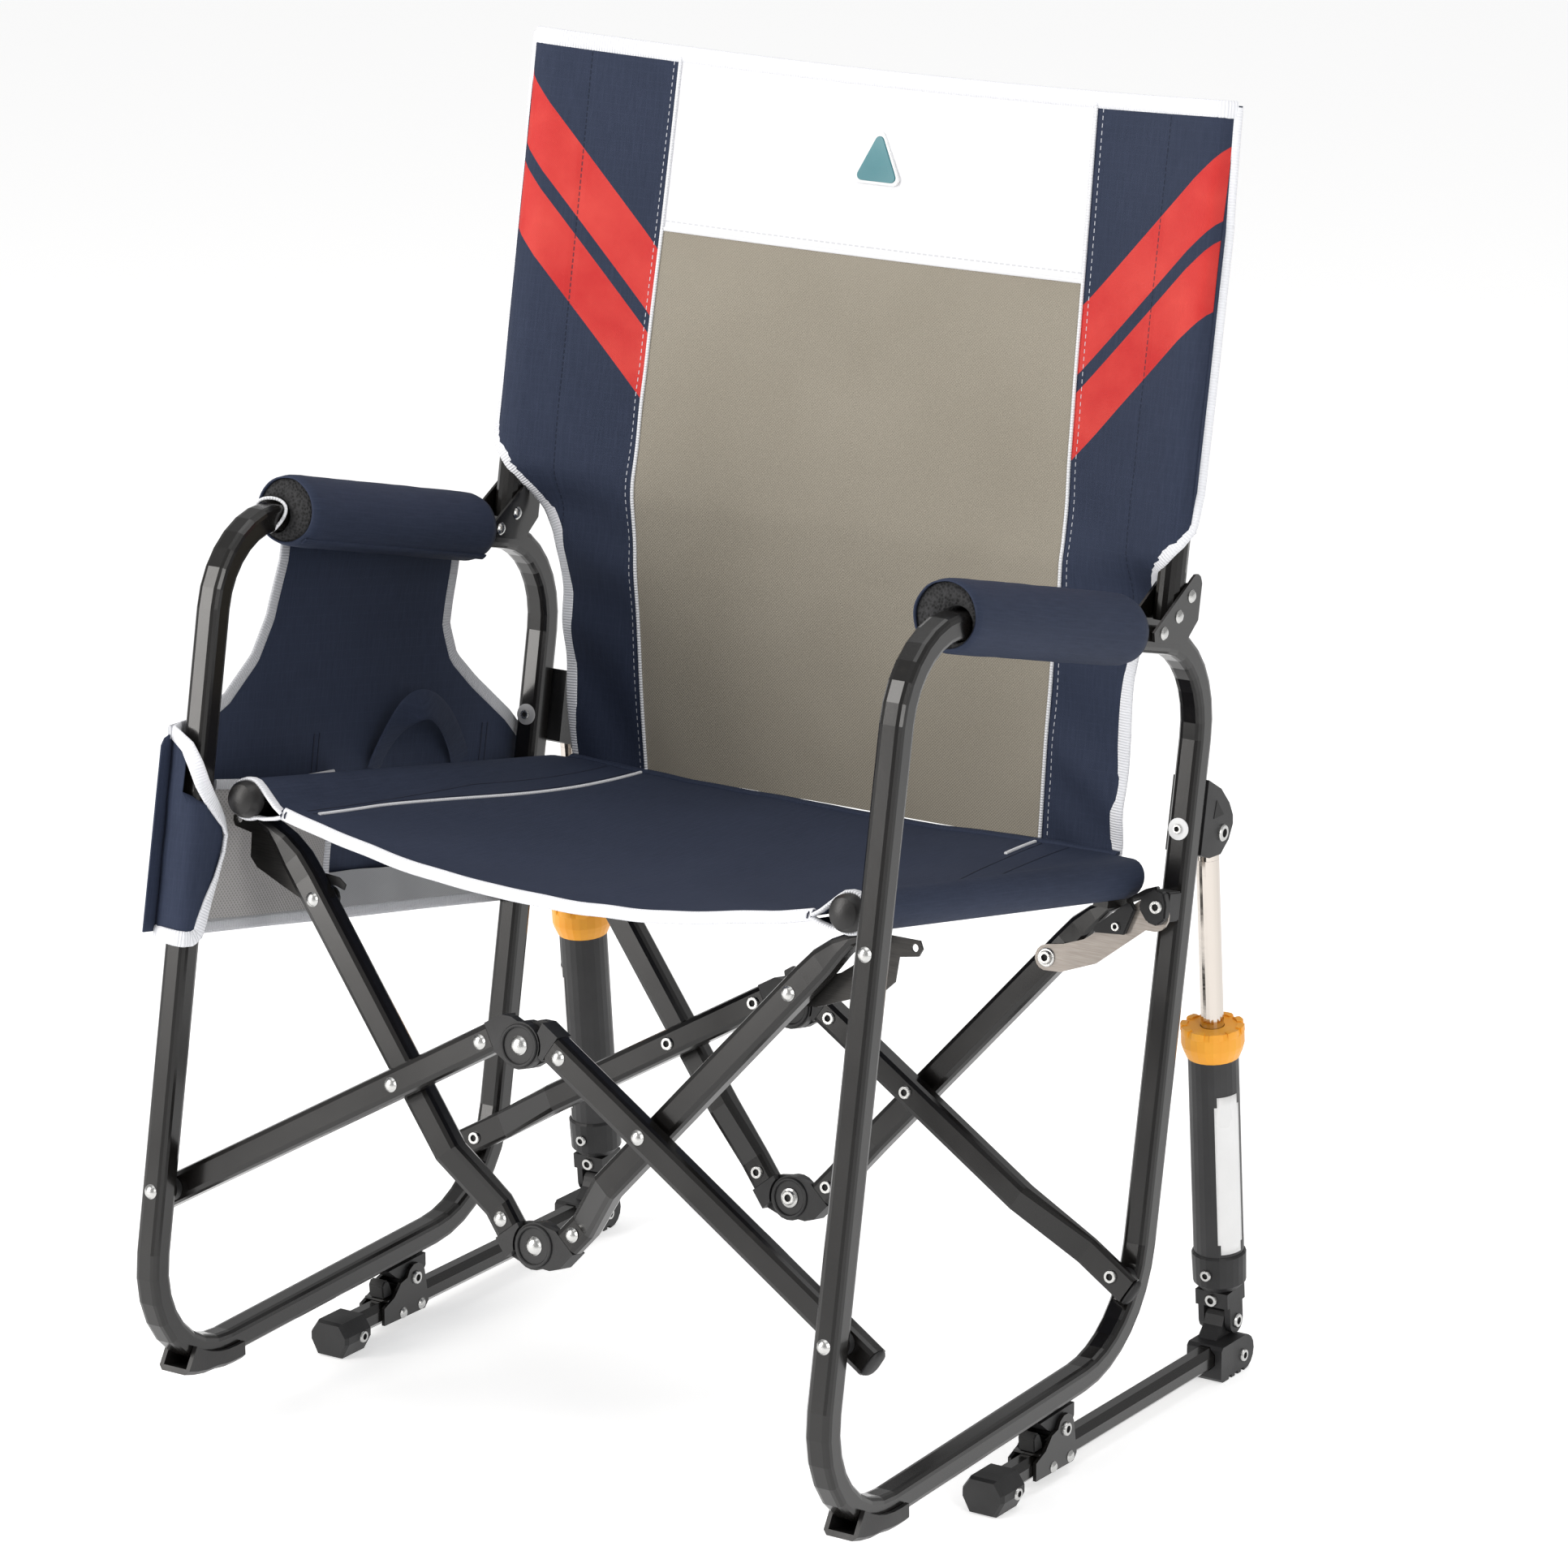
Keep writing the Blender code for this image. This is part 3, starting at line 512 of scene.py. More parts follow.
def turned(name, profile, place, way, look, steps=24):
    """Lathe a profile of (radius, height) pairs about way; radius 0 closes an end."""
    way = Vector(way).normalized()
    side = way.orthogonal().normalized()
    other = way.cross(side)
    verts, rings, faces = [], [], []
    for radius, height in profile:
        centre = Vector(place) + way * height
        start = len(verts)
        if radius == 0:
            verts.append(centre)
        else:
            for k in range(steps):
                t = 2 * pi * k / steps
                verts.append(centre + side * cos(t) * radius + other * sin(t) * radius)
        rings.append(list(range(start, len(verts))))
    pairs = list(zip(rings, rings[1:]))
    if profile[0][0] and profile[-1][0]:
        pairs.append((rings[-1], rings[0]))
    for low, high in pairs:
        for k in range(steps):
            j = (k + 1) % steps
            if len(low) == 1:
                faces.append((low[0], high[j], high[k]))
            elif len(high) == 1:
                faces.append((low[k], low[j], high[0]))
            else:
                faces.append((low[k], low[j], high[j], high[k]))
    return sharpen(outward(make(name, verts, faces, look)))


def slab(name, outline, depth, look, bevel=0.0):
    """Extrude a closed outline of points by the vector depth, with softened edges."""
    count = len(outline)
    verts = [Vector(p) for p in outline] + [Vector(p) + Vector(depth) for p in outline]
    faces = [tuple(range(count))[::-1], tuple(range(count, 2 * count))]
    faces += [(k, (k + 1) % count, (k + 1) % count + count, k + count) for k in range(count)]
    obj = outward(make(name, verts, faces, look))
    if bevel:
        shape = bmesh.new()
        shape.from_mesh(obj.data)
        bmesh.ops.bevel(shape, geom=list(shape.edges), offset=bevel, segments=2,
                        affect="EDGES", clamp_overlap=True)
        shape.to_mesh(obj.data)
        shape.free()
        obj.data.shade_smooth()
    return sharpen(obj)


def dome_rivet(name, place, way, body, radius=0.0044, height=0.0026):
    profile = [(0, 0), (radius * 1.12, 0), (radius * 1.12, height * 0.12),
               (radius, height * 0.28), (radius * 0.86, height * 0.66),
               (radius * 0.58, height * 0.9), (radius * 0.28, height), (0, height * 1.02)]
    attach(turned(name, profile, place, way, "zinc"), body)


def socket_screw(name, place, way, body, radius=0.0046, washer=0.0, washer_look="zinc"):
    """Rolled screw head with a recess, whose faces are coloured black as painted shade; washer adds a
    wider ring under it.
    """
    height = 0.0019
    profile = [(0, 0), (radius, 0), (radius, height * 0.55), (radius * 0.88, height),
               (radius * 0.52, height), (radius * 0.45, height * 0.2), (0, height * 0.15)]
    way = Vector(way).normalized()
    seat = Vector(place) + way * (0.001 if washer else 0)
    screw = turned(name, profile, seat, way, "zinc")
    # The black material on the recess faces is painted shade inside the recess, not rubber.
    screw.data.materials.append(M["rubber"])
    for face in screw.data.polygons:
        off = face.center - seat
        if off.dot(way) > 0 and (off - way * off.dot(way)).length < radius * 0.51:
            face.material_index = 1
    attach(screw, body)
    if washer:
        ring = [(0, 0), (washer, 0), (washer, 0.0008), (washer * 0.93, 0.0011), (0, 0.0011)]
        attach(turned(f"{name}_washer", ring, place, way, washer_look), body)


FRONT = lean_way(0, -1, 0)
BACK = lean_way(0, 1, 0)


# ---------------- rivets and screws

# Pivots and rivets of a scissor, across and up the legs; depths of the faces they sit on.
LINK_PIVOT, LINK_END = (0.262, 0.002), (0.0236, 0.1446)
BAR_END, BAR_PLATE = (0.0229, 0.0149), (0.1845, 0.207)
CROSSING, LEG_PLATE = (0.096, 0.101), (0.262, 0.2475)
TOP_PIN, LOW_PIN = 0.1435, 0.0085
FRONT_LINK, FRONT_BAR = (0.015, 0.031), (0.0555, 0.0695)
REAR_LINK, REAR_BAR = (0.343, 0.359), (0.367, 0.38)
REAR_LEG_BACK, FLAT_BACK = 0.3955, 0.378


def back_from(end, start, distance):
    """A point on the line from start to end, a distance before its end."""
    dx, dz = end[0] - start[0], end[1] - start[1]
    size = sqrt(dx * dx + dz * dz)
    return end[0] - dx / size * distance, end[1] - dz / size * distance


def folding_hardware():
    """Rivets and screws of both scissors, with dark plastic fillers in the gaps at their leg pivots as
    painted shade.
    """
    link_neck = back_from(LINK_END, LINK_PIVOT, 0.008)
    bar_neck = back_from(BAR_END, BAR_PLATE, 0.008)
    for label, s in SIDES:
        side, seat = body_of("side", label), body_of("seat", label)
        front, rear = body_of("front_link", label), body_of("rear_link", label)
        domes = [
            ("leg_pivot", LINK_PIVOT, -TUBE_HALF, FRONT, side),
            ("front_link_neck", link_neck, FRONT_LINK[0], FRONT, front),
            ("front_crossing", CROSSING, FRONT_LINK[0], FRONT, front),
            ("front_crossing_back", CROSSING, 0.049, BACK, seat),
            ("front_bar_neck", bar_neck, FRONT_BAR[0], FRONT, seat),
            ("front_bar_neck_back", bar_neck, FRONT_BAR[1], BACK, seat),
            ("front_link_neck_back", link_neck, FRONT_LINK[1], BACK, front),
            ("front_plate_rivet", BAR_PLATE, 0.033, FRONT, seat),
            ("front_plate_rivet_back", BAR_PLATE, 0.0525, BACK, seat),
            ("front_leg_plate_pin", LEG_PLATE, -TUBE_HALF, FRONT, side),
            ("rear_link_neck_back", link_neck, REAR_LINK[1], BACK, rear),
            ("rear_bar_neck_back", bar_neck, REAR_BAR[1], BACK, seat),
            ("rear_crossing_back", CROSSING, FLAT_BACK, BACK, seat),
            ("rear_plate_rivet_back", BAR_PLATE, FLAT_BACK, BACK, seat),
            ("rear_leg_pivot_back", LINK_PIVOT, REAR_LEG_BACK, BACK, side),
            ("rear_leg_plate_back", LEG_PLATE, REAR_LEG_BACK, BACK, side),
        ]
        for name, (x, z), y, way, body in domes:
            dome_rivet(f"{name}_{label}", lean(s * x, y, z), way, body)
        screws = [
            ("rear_link_neck", link_neck, REAR_LINK[0], rear, 0.0),
            ("rear_crossing", CROSSING, REAR_LINK[0], rear, 0.0),
            ("rear_bar_neck", bar_neck, REAR_BAR[0], seat, 0.0),
            ("rear_plate_rivet", BAR_PLATE, 0.3575, seat, 0.0064),
            ("rear_leg_pivot", (0.258, 0.004), REAR_LINK[1], rear, 0.0),
            ("rear_leg_plate", (0.2665, 0.2545), 0.35, side, 0.0),
            ("upright_bolt", (0.262, 0.3045), 0.3775, side, 0.0074),
        ]
        for name, (x, z), y, body, washer in screws:
            bolt = washer > 0.007
            # The left washers are a grey copy of the right ones' white: painted shade on the far side.
            look = ("badge_rim" if s > 0 else "washer") if bolt else "zinc"
            socket_screw(f"{name}_{label}", lean(s * x, y, z), FRONT, body,
                         0.0034 if bolt else 0.0046, washer, look)
        # Dark plastic fillers in the gaps between leg and link at the pivots stand in for the shade
        # there: painted shade.
        for name, y, radius, length in (("front", 0.0092, 0.008, 0.0055),
                                        ("rear", 0.3683, 0.0075, 0.009)):
            shade_filler = [(0, 0), (radius, 0), (radius, length), (0, length)]
            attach(turned(f"{name}_spacer_{label}", shade_filler, lean(s * LEG_X, y, 0.002), BACK,
                           "plastic"), side)
    for name, z, y, way, body, radius, height in (
            ("front_top_pin", TOP_PIN, FRONT_LINK[0], FRONT, "front_link_left_body", 0.0056, 0.003),
            ("front_low_pin", LOW_PIN, FRONT_BAR[0], FRONT, "seat_right_body", 0.0056, 0.003),
            ("rear_low_pin_back", LOW_PIN, REAR_BAR[1], BACK, "seat_left_body", 0.005, 0.0026),
            ("rear_top_pin_back", TOP_PIN, REAR_LINK[1], BACK, "rear_link_right_body", 0.005, 0.0026)):
        dome_rivet(name, lean(0, y, z), way, body, radius, height)
    socket_screw("rear_top_pin", lean(0, REAR_LINK[0], TOP_PIN), FRONT, "rear_link_left_body",
                 0.005, 0.0068)
    socket_screw("rear_low_pin", lean(0, REAR_BAR[0], LOW_PIN), FRONT, "seat_right_body", 0.005, 0.0068)


def knuckle_rims():
    """Raised rim round each knuckle disc, as moulded."""
    rim = [(0.0118, 0), (0.014, 0), (0.014, 0.001), (0.0134, 0.0016), (0.0124, 0.0016), (0.0118, 0.001)]
    for name, z, y, body in (
            ("front_top_rim", TOP_PIN, FRONT_LINK[0], "front_link_left_body"),
            ("front_low_rim", LOW_PIN, FRONT_BAR[0], "seat_right_body"),
            ("rear_low_rim", LOW_PIN, REAR_BAR[0], "seat_right_body"),
            ("rear_top_rim", TOP_PIN, REAR_LINK[0], "rear_link_left_body")):
        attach(turned(name, rim, lean(0, y, z), FRONT, "plastic", 32), body)


def arm_and_head_hardware():
    """Rivets through the arm brackets; screw and three-cornered recess of the piston heads, the recess
    a thin black slab of painted shade.
    """
    for label, s in SIDES:
        side = body_of("side", label)
        for k, (y, z) in enumerate(((0.338, 0.462), (0.324, 0.449), (0.306, 0.4385))):
            for tag, face, way in (("o", 0.2739, 1), ("i", 0.2501, -1)):
                if tag == "i" and k == 0:
                    continue
                dome_rivet(f"bracket_rivet_{k}{tag}_{label}", lean(s * face, y, z),
                           (s * way, 0, 0), side, 0.004, 0.0022)
        socket_screw(f"head_screw_{label}", lean(s * 0.271, 0.4225, 0.301), (s, 0, 0), side, 0.0058)
        # A thin black slab stands in for the shade in the three-cornered recess: painted shade.
        recess = [lean(s * 0.27115, y, z) for y, z in ((0.408, 0.311), (0.4215, 0.3135),
                                                       (0.4095, 0.3235))]
        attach(slab(f"head_recess_shade_{label}", recess, (s * 0.0002, 0, 0), "rubber"), side)


def base_hardware():
    """Fittings of the base rails: rivets, rocking pins, rubber stops, fork screws."""
    plate = 0.0108
    for label, s in SIDES:
        base = body_of("base", label)
        for tag, way in (("o", 1), ("i", -1)):
            x, out = s * (LEG_X + way * plate), (s * way, 0, 0)
            dome_rivet(f"base_rivet_0{tag}_{label}", chair(x, 0.267, 0.012), out, base, 0.0036, 0.002)
            dome_rivet(f"base_rivet_1{tag}_{label}", chair(x, 0.2886, 0.0125), out, base, 0.0036, 0.002)
            socket_screw(f"rock_pin_{tag}_{label}", chair(x, 0.2826, 0.0336), out, base, 0.0048)
        socket_screw(f"cap_screw_{label}", chair(LEG_X * s + 0.0153, 0.213, 0.0125), (1, 0, 0),
                     base, 0.0042)
        socket_screw(f"socket_screw_{label}", chair(s * LEG_X + 0.0135, 0.518, 0.0115),
                     (1, 0, 0), base, 0.0044)
        bump = [(0.25, 0.026), (0.249, 0.0353), (0.252, 0.0393), (0.2565, 0.0378),
                (0.26, 0.0308), (0.261, 0.026)]
        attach(slab(f"rubber_stop_{label}", [chair(s * LEG_X - 0.0062, y, z) for y, z in bump],
                     (0.0124, 0, 0), "rubber", 0.001), base)
        down = piston(s, 0, -1, 0) - piston(s, 0, 0, 0)
        for name, place, way, radius in (("fork_screw", (0.0124, 0, 0), (1, 0, 0), 0.005),
                                         ("fork_screw_i", (-0.0124, 0, 0), (-1, 0, 0), 0.005),
                                         ("fork_front_screw", (0, -0.012, 0.0175), down, 0.0046),
                                         ("ring_screw", (0, -0.0185, 0.0385), down, 0.004)):
            socket_screw(f"{name}_{label}", piston(s, *place), way, body_of("cylinder", label), radius)


def collars():
    """Notched teeth round the top of the yellow collar."""
    count, steps = 10, 5
    for label, s in SIDES:
        verts, faces = [], []
        for k in range(count):
            start, stop = 2 * pi * (k + 0.14) / count, 2 * pi * (k + 0.86) / count
            base = len(verts)
            for j in range(steps + 1):
                t = mix(start, stop, j / steps)
                edge = 0.0 if 0 < j < steps else 0.0006
                section = ((0.017, 0.212), (0.0212, 0.212), (0.0219 - edge, 0.2132),
                           (0.0217 - edge, 0.2176 - edge), (0.017, 0.2178 - edge))
                verts += [piston(s, cos(t) * r, sin(t) * r, z) for r, z in section]
            faces += [tuple(base + i for i in face) for face in skin(steps + 1, 5)]
            faces.append(tuple(base + i for i in range(5))[::-1])
            faces.append(tuple(base + steps * 5 + i for i in range(5)))
        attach(sharpen(outward(make(f"collar_teeth_{label}", verts, faces, "collar"))),
                body_of("cylinder", label))


def rod_tops():
    """Last few millimetres of each rod below its head."""
    top = [(0, 0), (0.0079, 0), (0.0079, 0.0042), (0.007, 0.005), (0, 0.005)]
    for label, s in SIDES:
        up = piston(s, 0, 0, 1) - piston(s, 0, 0, 0)
        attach(turned(f"rod_top_{label}", top, piston(s, 0, 0, PISTON_LENGTH - 0.0199), up,
                       "rod"), body_of("rod", label))


def stickers():
    """Blank white label on the outer side of each cylinder."""
    cols, rows, radius = 10, 16, 0.01745
    wide = cols + 1
    corners = [(r, c) for r in (0, rows - 1) for c in (0, cols - 1)]
    for label, s in SIDES:
        verts, faces, uvs = [], [], []
        for r in range(rows + 1):
            z = mix(0.054, 0.17, r / rows)
            for c in range(wide):
                t = radians(mix(-62, 4, c / cols) + 0.05 * sin(pi * r / rows * 3))
                verts.append(piston(s, s * cos(t) * radius, sin(t) * radius, z))
                uvs.append((c * 0.002, z))
        for r in range(rows):
            for c in range(cols):
                if (r, c) not in corners:
                    a, b = r * wide + c, (r + 1) * wide + c
                    faces.append((a, a + 1, b + 1, b))
        obj = make(f"sticker_{label}", verts, faces, "sticker", uvs)
        thick = obj.modifiers.new("thick", "SOLIDIFY")
        thick.thickness = 0.0003
        thick.offset = 0
        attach(obj, body_of("cylinder", label))


# ---------------- black plastic bits

def link_plug(name, s, reach, depth, deep, body):
    """Domed plug in the outer end of a lower scissor bar."""
    dx, dz = LINK_PIVOT[0] - LINK_END[0], LINK_PIVOT[1] - LINK_END[1]
    size = sqrt(dx * dx + dz * dz)
    centre = lean(s * (LINK_PIVOT[0] + dx / size * reach), depth, LINK_PIVOT[1] + dz / size * reach)
    outer = lean_way(s * dx / size, 0, dz / size)
    across = outer.cross(BACK).normalized()
    verts = []
    rings, steps = [(1.0, -0.0005), (1.0, 0.001), (0.86, 0.0026), (0.5, 0.0037)], 16
    for scale, height in rings:
        for a, b in oval(2 * 0.0098 * scale, 2 * deep * scale, steps):
            verts.append(centre + across * a + BACK * b + outer * height)
    faces = skin(len(rings), steps) + [tuple(range(steps)),
                                       tuple(range((len(rings) - 1) * steps, len(verts)))]
    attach(outward(make(name, verts, faces, "plastic")), body)


def corner_bits():
    """Plastic bits at the seat's corners: wedges, leg guards, rail caps, plugs, stop hooks."""
    wedge = [(0.219, 0.233), (0.237, 0.249), (0.245, 0.255), (0.249, 0.25), (0.243, 0.232),
             (0.22, 0.23)]
    guard = [(0.2545, 0.26), (0.264, 0.2665), (0.2705, 0.265), (0.2735, 0.257),
             (0.2735, 0.247), (0.268, 0.242), (0.26, 0.2435), (0.253, 0.252)]
    arm = [(0.242, 0.2555), (0.256, 0.265), (0.264, 0.268), (0.265, 0.264),
           (0.256, 0.259), (0.244, 0.253)]
    block = [(0.256, 0.244), (0.27, 0.244), (0.27, 0.264), (0.256, 0.264)]
    hook = [(0.2, 0.224), (0.176, 0.222), (0.17, 0.218), (0.1712, 0.214),
            (0.178, 0.216), (0.199, 0.2175)]
    cap = [(0, -0.0035), (0.0052, -0.0032), (0.0098, -0.0012), (0.0121, 0.0025),
           (0.0125, 0.009), (0.0118, 0.01), (0, 0.01)]
    for label, s in SIDES:
        plate, side, seat = (body_of(kind, label) for kind in ("rear_plate", "side", "seat"))
        for name, outline, y, depth, look, bevel, body in (
                ("plate_wedge", wedge, 0.3574, -0.0042, "plastic", 0.0009, plate),
                ("leg_guard", guard, 0.357, -0.007, "plastic", 0.0012, side),
                ("leg_guard_arm", arm, 0.357, -0.005, "frame", 0.0006, side),
                ("leg_guard_block", block, 0.3773, -0.017, "plastic", 0.001, side),
                ("stop_hook", hook, 0.049, 0.0012, "plastic", 0.0004, body_of("front_plate", label))):
            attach(slab(f"{name}_{label}", [lean(s * x, y, z) for x, z in outline],
                         BACK * depth, look, bevel), body)
        socket_screw(f"wedge_screw_{label}", lean(s * 0.2365, 0.3533, 0.2365), FRONT, plate, 0.0031)
        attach(turned(f"rail_cap_{label}", cap, lean(s * RAIL[0], 0.0098, RAIL[1]), BACK,
                       "shoe", 28), seat)
        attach(turned(f"rail_cap_back_{label}", [(r * 0.94, h * 0.6) for r, h in cap],
                       lean(s * RAIL[0], 0.355, RAIL[1]), FRONT, "shoe", 28), seat)
        link_plug(f"front_link_plug_{label}", s, 0.02, 0.023, 0.0078, body_of("front_link", label))
        link_plug(f"rear_link_plug_{label}", s, 0.012, 0.3635, 0.0043, body_of("rear_link", label))


# ---------------- arm pads

ARM_FRONT, ARM_REAR = Vector((0.254, 0.057, 0.4535)), Vector((0.2562, 0.277, 0.4385))
ARM_RADIUS = 0.0234


def arm_cover(label, s, rings=30, steps=44):
    """Navy cloth round the foam, a little flatter below and drawn in at both ends."""
    verts, uvs = [], []
    for r in range(rings + 1):
        t = r / rings
        centre = ARM_FRONT.lerp(ARM_REAR, t)
        drawn = 0.0016 * max(0.0, 1 - min(t, 1 - t) * rings / 1.6) ** 2
        y = centre.y + (0.0012 if r == 0 else -0.0012 if r == rings else 0)
        for k in range(steps):
            a = 2 * pi * k / steps
            radius = ARM_RADIUS - 0.0016 * max(0.0, -sin(a)) ** 2 - drawn
            radius += 0.00045 * noise.noise(Vector((cos(a) * 2, sin(a) * 2, t * 9 + s)))
            verts.append(lean(s * (centre.x + cos(a) * radius), y, centre.z + sin(a) * radius))
            uvs.append((a * ARM_RADIUS, t * 0.22))
    cover = make(f"arm_cover_{label}", verts, skin(rings + 1, steps), "navy", uvs)
    thick = cover.modifiers.new("thick", "SOLIDIFY")
    thick.thickness = 0.0012
    thick.offset = -1 if s > 0 else 1
    return cover


def arm_foam(label, s, steps=44):
    """Foam between the cloth and the arm tube, whose bore wobbles a little."""
    verts = []
    layers = [(0.0, 0.0214, 0.003), (0.0, 0.0118, 0.0022), (0.07, 0.0112, 0), (0.93, 0.0112, 0),
              (1.0, 0.0118, -0.0022), (1.0, 0.0214, -0.003)]
    for t, radius, inset in layers:
        centre = ARM_FRONT.lerp(ARM_REAR, t)
        tube_z = 0.4535 - 0.0255 * (centre.y / 0.3865)
        for k in range(steps):
            a = 2 * pi * k / steps
            x, z, r = centre.x, centre.z, radius
            if radius < 0.02:
                wobble = 1 + 0.04 * noise.noise(Vector((cos(a) * 3, sin(a) * 3, t * 5)))
                x, z, r = LEG_X, tube_z, radius * wobble
            verts.append(lean(s * (x + cos(a) * r), centre.y + inset, z + sin(a) * r))
    return outward(make(f"arm_foam_{label}", verts, skin(len(layers), steps, True), "foam"))


def arm_pads():
    """Foam sleeves in navy cloth: the foam shows round the tube at the front."""
    for label, s in SIDES:
        side = body_of("side", label)
        cover = arm_cover(label, s)
        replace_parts(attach(cover, side), f"arm_pad_{label}")
        core = arm_foam(label, s)
        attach(core, side)
        seam = stops(20, lambda t: (lean(s * (0.238 + 0.0022 * t), mix(0.06, 0.274, t),
                                         mix(ARM_FRONT.z, ARM_REAR.z, t) - 0.0178),
                                    lean_way(-s, 0, -1)))
        lip = tape(f"arm_seam_{label}", seam, oval(0.005, 0.0016), "navy_solid")
        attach(lip, side)
    loop = []
    for k in range(28):
        a = 2 * pi * k / 28
        loop.append((lean(-LEG_X + cos(a) * 0.0112, 0.053 + 0.004 * sin(a * 2),
                          0.45 + sin(a) * 0.0112), BACK))
    ring = tape("arm_cord_left", loop, oval(0.0022, 0.002, 8), "cord", True)
    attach(ring, "side_left")


# ---------------- back rest

# Rows of (height, half width) or (height, depth) of the back rest.
INNER = [(0.281, 0.158), (0.482, 0.171), (0.657, 0.166), (0.782, 0.163)]
OUTLINE = [(0.279, 0.216), (0.32, 0.219), (0.363, 0.222), (0.4, 0.2235), (0.421, 0.2262),
           (0.44, 0.231), (0.456, 0.239), (0.471, 0.248), (0.485, 0.259), (0.497, 0.269),
           (0.506, 0.2735), (0.53, 0.2742), (0.6, 0.2745), (0.7, 0.2742), (0.782, 0.273)]
DEPTH = [(0.279, 0.3785), (0.363, 0.3635), (0.421, 0.352), (0.471, 0.344), (0.52, 0.3425),
         (0.657, 0.3415), (0.782, 0.34)]
BACK_LOW, BACK_HIGH, HEAD_LOW = 0.28, 0.78, 0.657
SLEEVE_X, SLEEVE_RADIUS = 0.2625, 0.0118


def crease(x, z, seed, size, amount):
    place = Vector((x * size, z * size * 0.8, seed))
    return amount * (noise.noise(place) + 0.5 * noise.noise(place * 2.1))


def back_depth(x, z, side):
    """Depth of the back rest's front face at a place across and up."""
    y = along(DEPTH, z)
    over_tube = max(0.0, min(1.0, (x - 0.172) / 0.082)) ** 1.15
    on_sleeve = over_tube * smooth((z - 0.452) / 0.035)
    front = UPRIGHT[0] - UPRIGHT[1] - 0.0014
    outer = min(max(0.0, x - SLEEVE_X), SLEEVE_RADIUS - 0.0001)
    y = mix(y, front + (SLEEVE_RADIUS - sqrt(SLEEVE_RADIUS ** 2 - outer ** 2)), on_sleeve)
    middle = 1 - smooth((x - 0.1) / 0.12)
    y += 0.0035 * middle * sin(pi * min(1.0, (z - BACK_LOW) / 0.5))
    calm = 1 - on_sleeve
    y += crease(x * side, z, 3.0, 7.0, 0.0016) * calm
    fold = noise.noise(Vector((x * side * 16 + z * 9, z * 7, 8.5)))
    y += 0.003 * fold * smooth((0.52 - z) / 0.2) * calm
    band = smooth((x - 0.16) / 0.02) * smooth((0.6 - z) / 0.12)
    wander = 3 * noise.noise(Vector((x * 10, z * 10, side)))
    y += 0.0016 * band * calm * sin((z + x * side * 0.9) * 95 + wander)
    return y


def top_sag(x):
    """The top edge dips a little between the uprights."""
    return -0.005 * (1 - (x / 0.273) ** 2)


def back_point(x, z, side):
    stretch = (z - BACK_LOW) / (BACK_HIGH - BACK_LOW)
    return lean(side * x, back_depth(x, z, side), z + top_sag(x) * stretch ** 3)


def soft_back(obj, label):
    """Let a piece of the back rest ride with its side frame, on a mesh of its own."""
    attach(obj, body_of("side", label))
    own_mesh(obj)
    return obj


def back_sheets(label, s):
    """Side band, mesh, head panel and the back of the sleeve, each with its flat size."""
    def inner(z):
        return along(INNER, z)

    def outer(z):
        return along(OUTLINE, z)

    def panel(name, x_from, x_to, z_from, z_to, look, cols, rows):
        def place(up, across):
            z = mix(z_from, z_to, up)
            x = mix(x_from(z), x_to(z), across)
            cell = back_point(x, z, s), (x, z)
            return (*cell, x - x_from(z)) if look == "band" else cell
        obj = soft_back(cloth(f"{name}_{label}", grid(rows, cols, place), look), label)
        return obj

    band = panel("back_band", inner, outer, BACK_LOW, BACK_HIGH, "band", 26, 120)
    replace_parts(band, f"back_{label}")
    panel("back_mesh", lambda z: 0.0, inner, BACK_LOW, HEAD_LOW, "mesh", 28, 64)
    panel("head_panel", lambda z: 0.0, inner, HEAD_LOW, BACK_HIGH, "white", 24, 20)

    def sleeve(up, across):
        z = mix(0.503, 0.781, up)
        radius = SLEEVE_RADIUS - 0.0001
        if across < 0.45:
            a = radians(mix(-20, 90, across / 0.45))
            x, y = SLEEVE_X + radius * cos(a), UPRIGHT[0] + radius * sin(a)
        else:
            k = (across - 0.45) / 0.55
            x, y = mix(SLEEVE_X, 0.229, k), mix(UPRIGHT[0] + radius, 0.345, smooth(k))
        y += crease(x * s, z, 6.0, 14.0, 0.0006)
        return lean(s * x, y, z + top_sag(x)), (0.3 + across * 0.05, z)
    obj = soft_back(cloth(f"back_sleeve_{label}", grid(40, 14, sleeve), "navy"), label)


def back_rest():
    for label, s in SIDES:
        back_sheets(label, s)

        def edge(t):
            z = mix(BACK_LOW, BACK_HIGH, t)
            tilt = mix(0.05, 0.35, smooth((z - 0.505) / 0.02))
            return (back_point(along(OUTLINE, z), z, s) + lean_way(0, 0.001, 0),
                    lean_way(s * tilt, -1, 0))

        def top(t):
            x = mix(0.0, 0.2745, t)
            return (back_point(min(x, 0.2735), BACK_HIGH, s) + lean_way(0, 0.001, -0.002),
                    lean_way(s * 0.5 * smooth((x - 0.262) / 0.012), -1, 0))

        def piping(t):
            z = mix(BACK_LOW + 0.001, BACK_HIGH - 0.004, t)
            return back_point(along(INNER, z), z, s) + lean_way(0, -0.001, 0), FRONT

        def hem(t):
            x = mix(0.0, along(INNER, HEAD_LOW), t)
            return back_point(x, HEAD_LOW, s) + lean_way(0, -0.0007, 0), FRONT

        for name, steps, place, section, look in (
                ("back_binding", 120, edge, oval(0.0098, 0.0032), "tape"),
                ("top_binding", 60, top, oval(0.012, 0.0046), "tape"),
                ("back_piping", 100, piping, oval(0.0024, 0.0022, 8), "cord"),
                ("head_hem", 24, hem, oval(0.003, 0.001, 8), "white")):
            soft_back(tape(f"{name}_{label}", stops(steps, place), section, look), label)


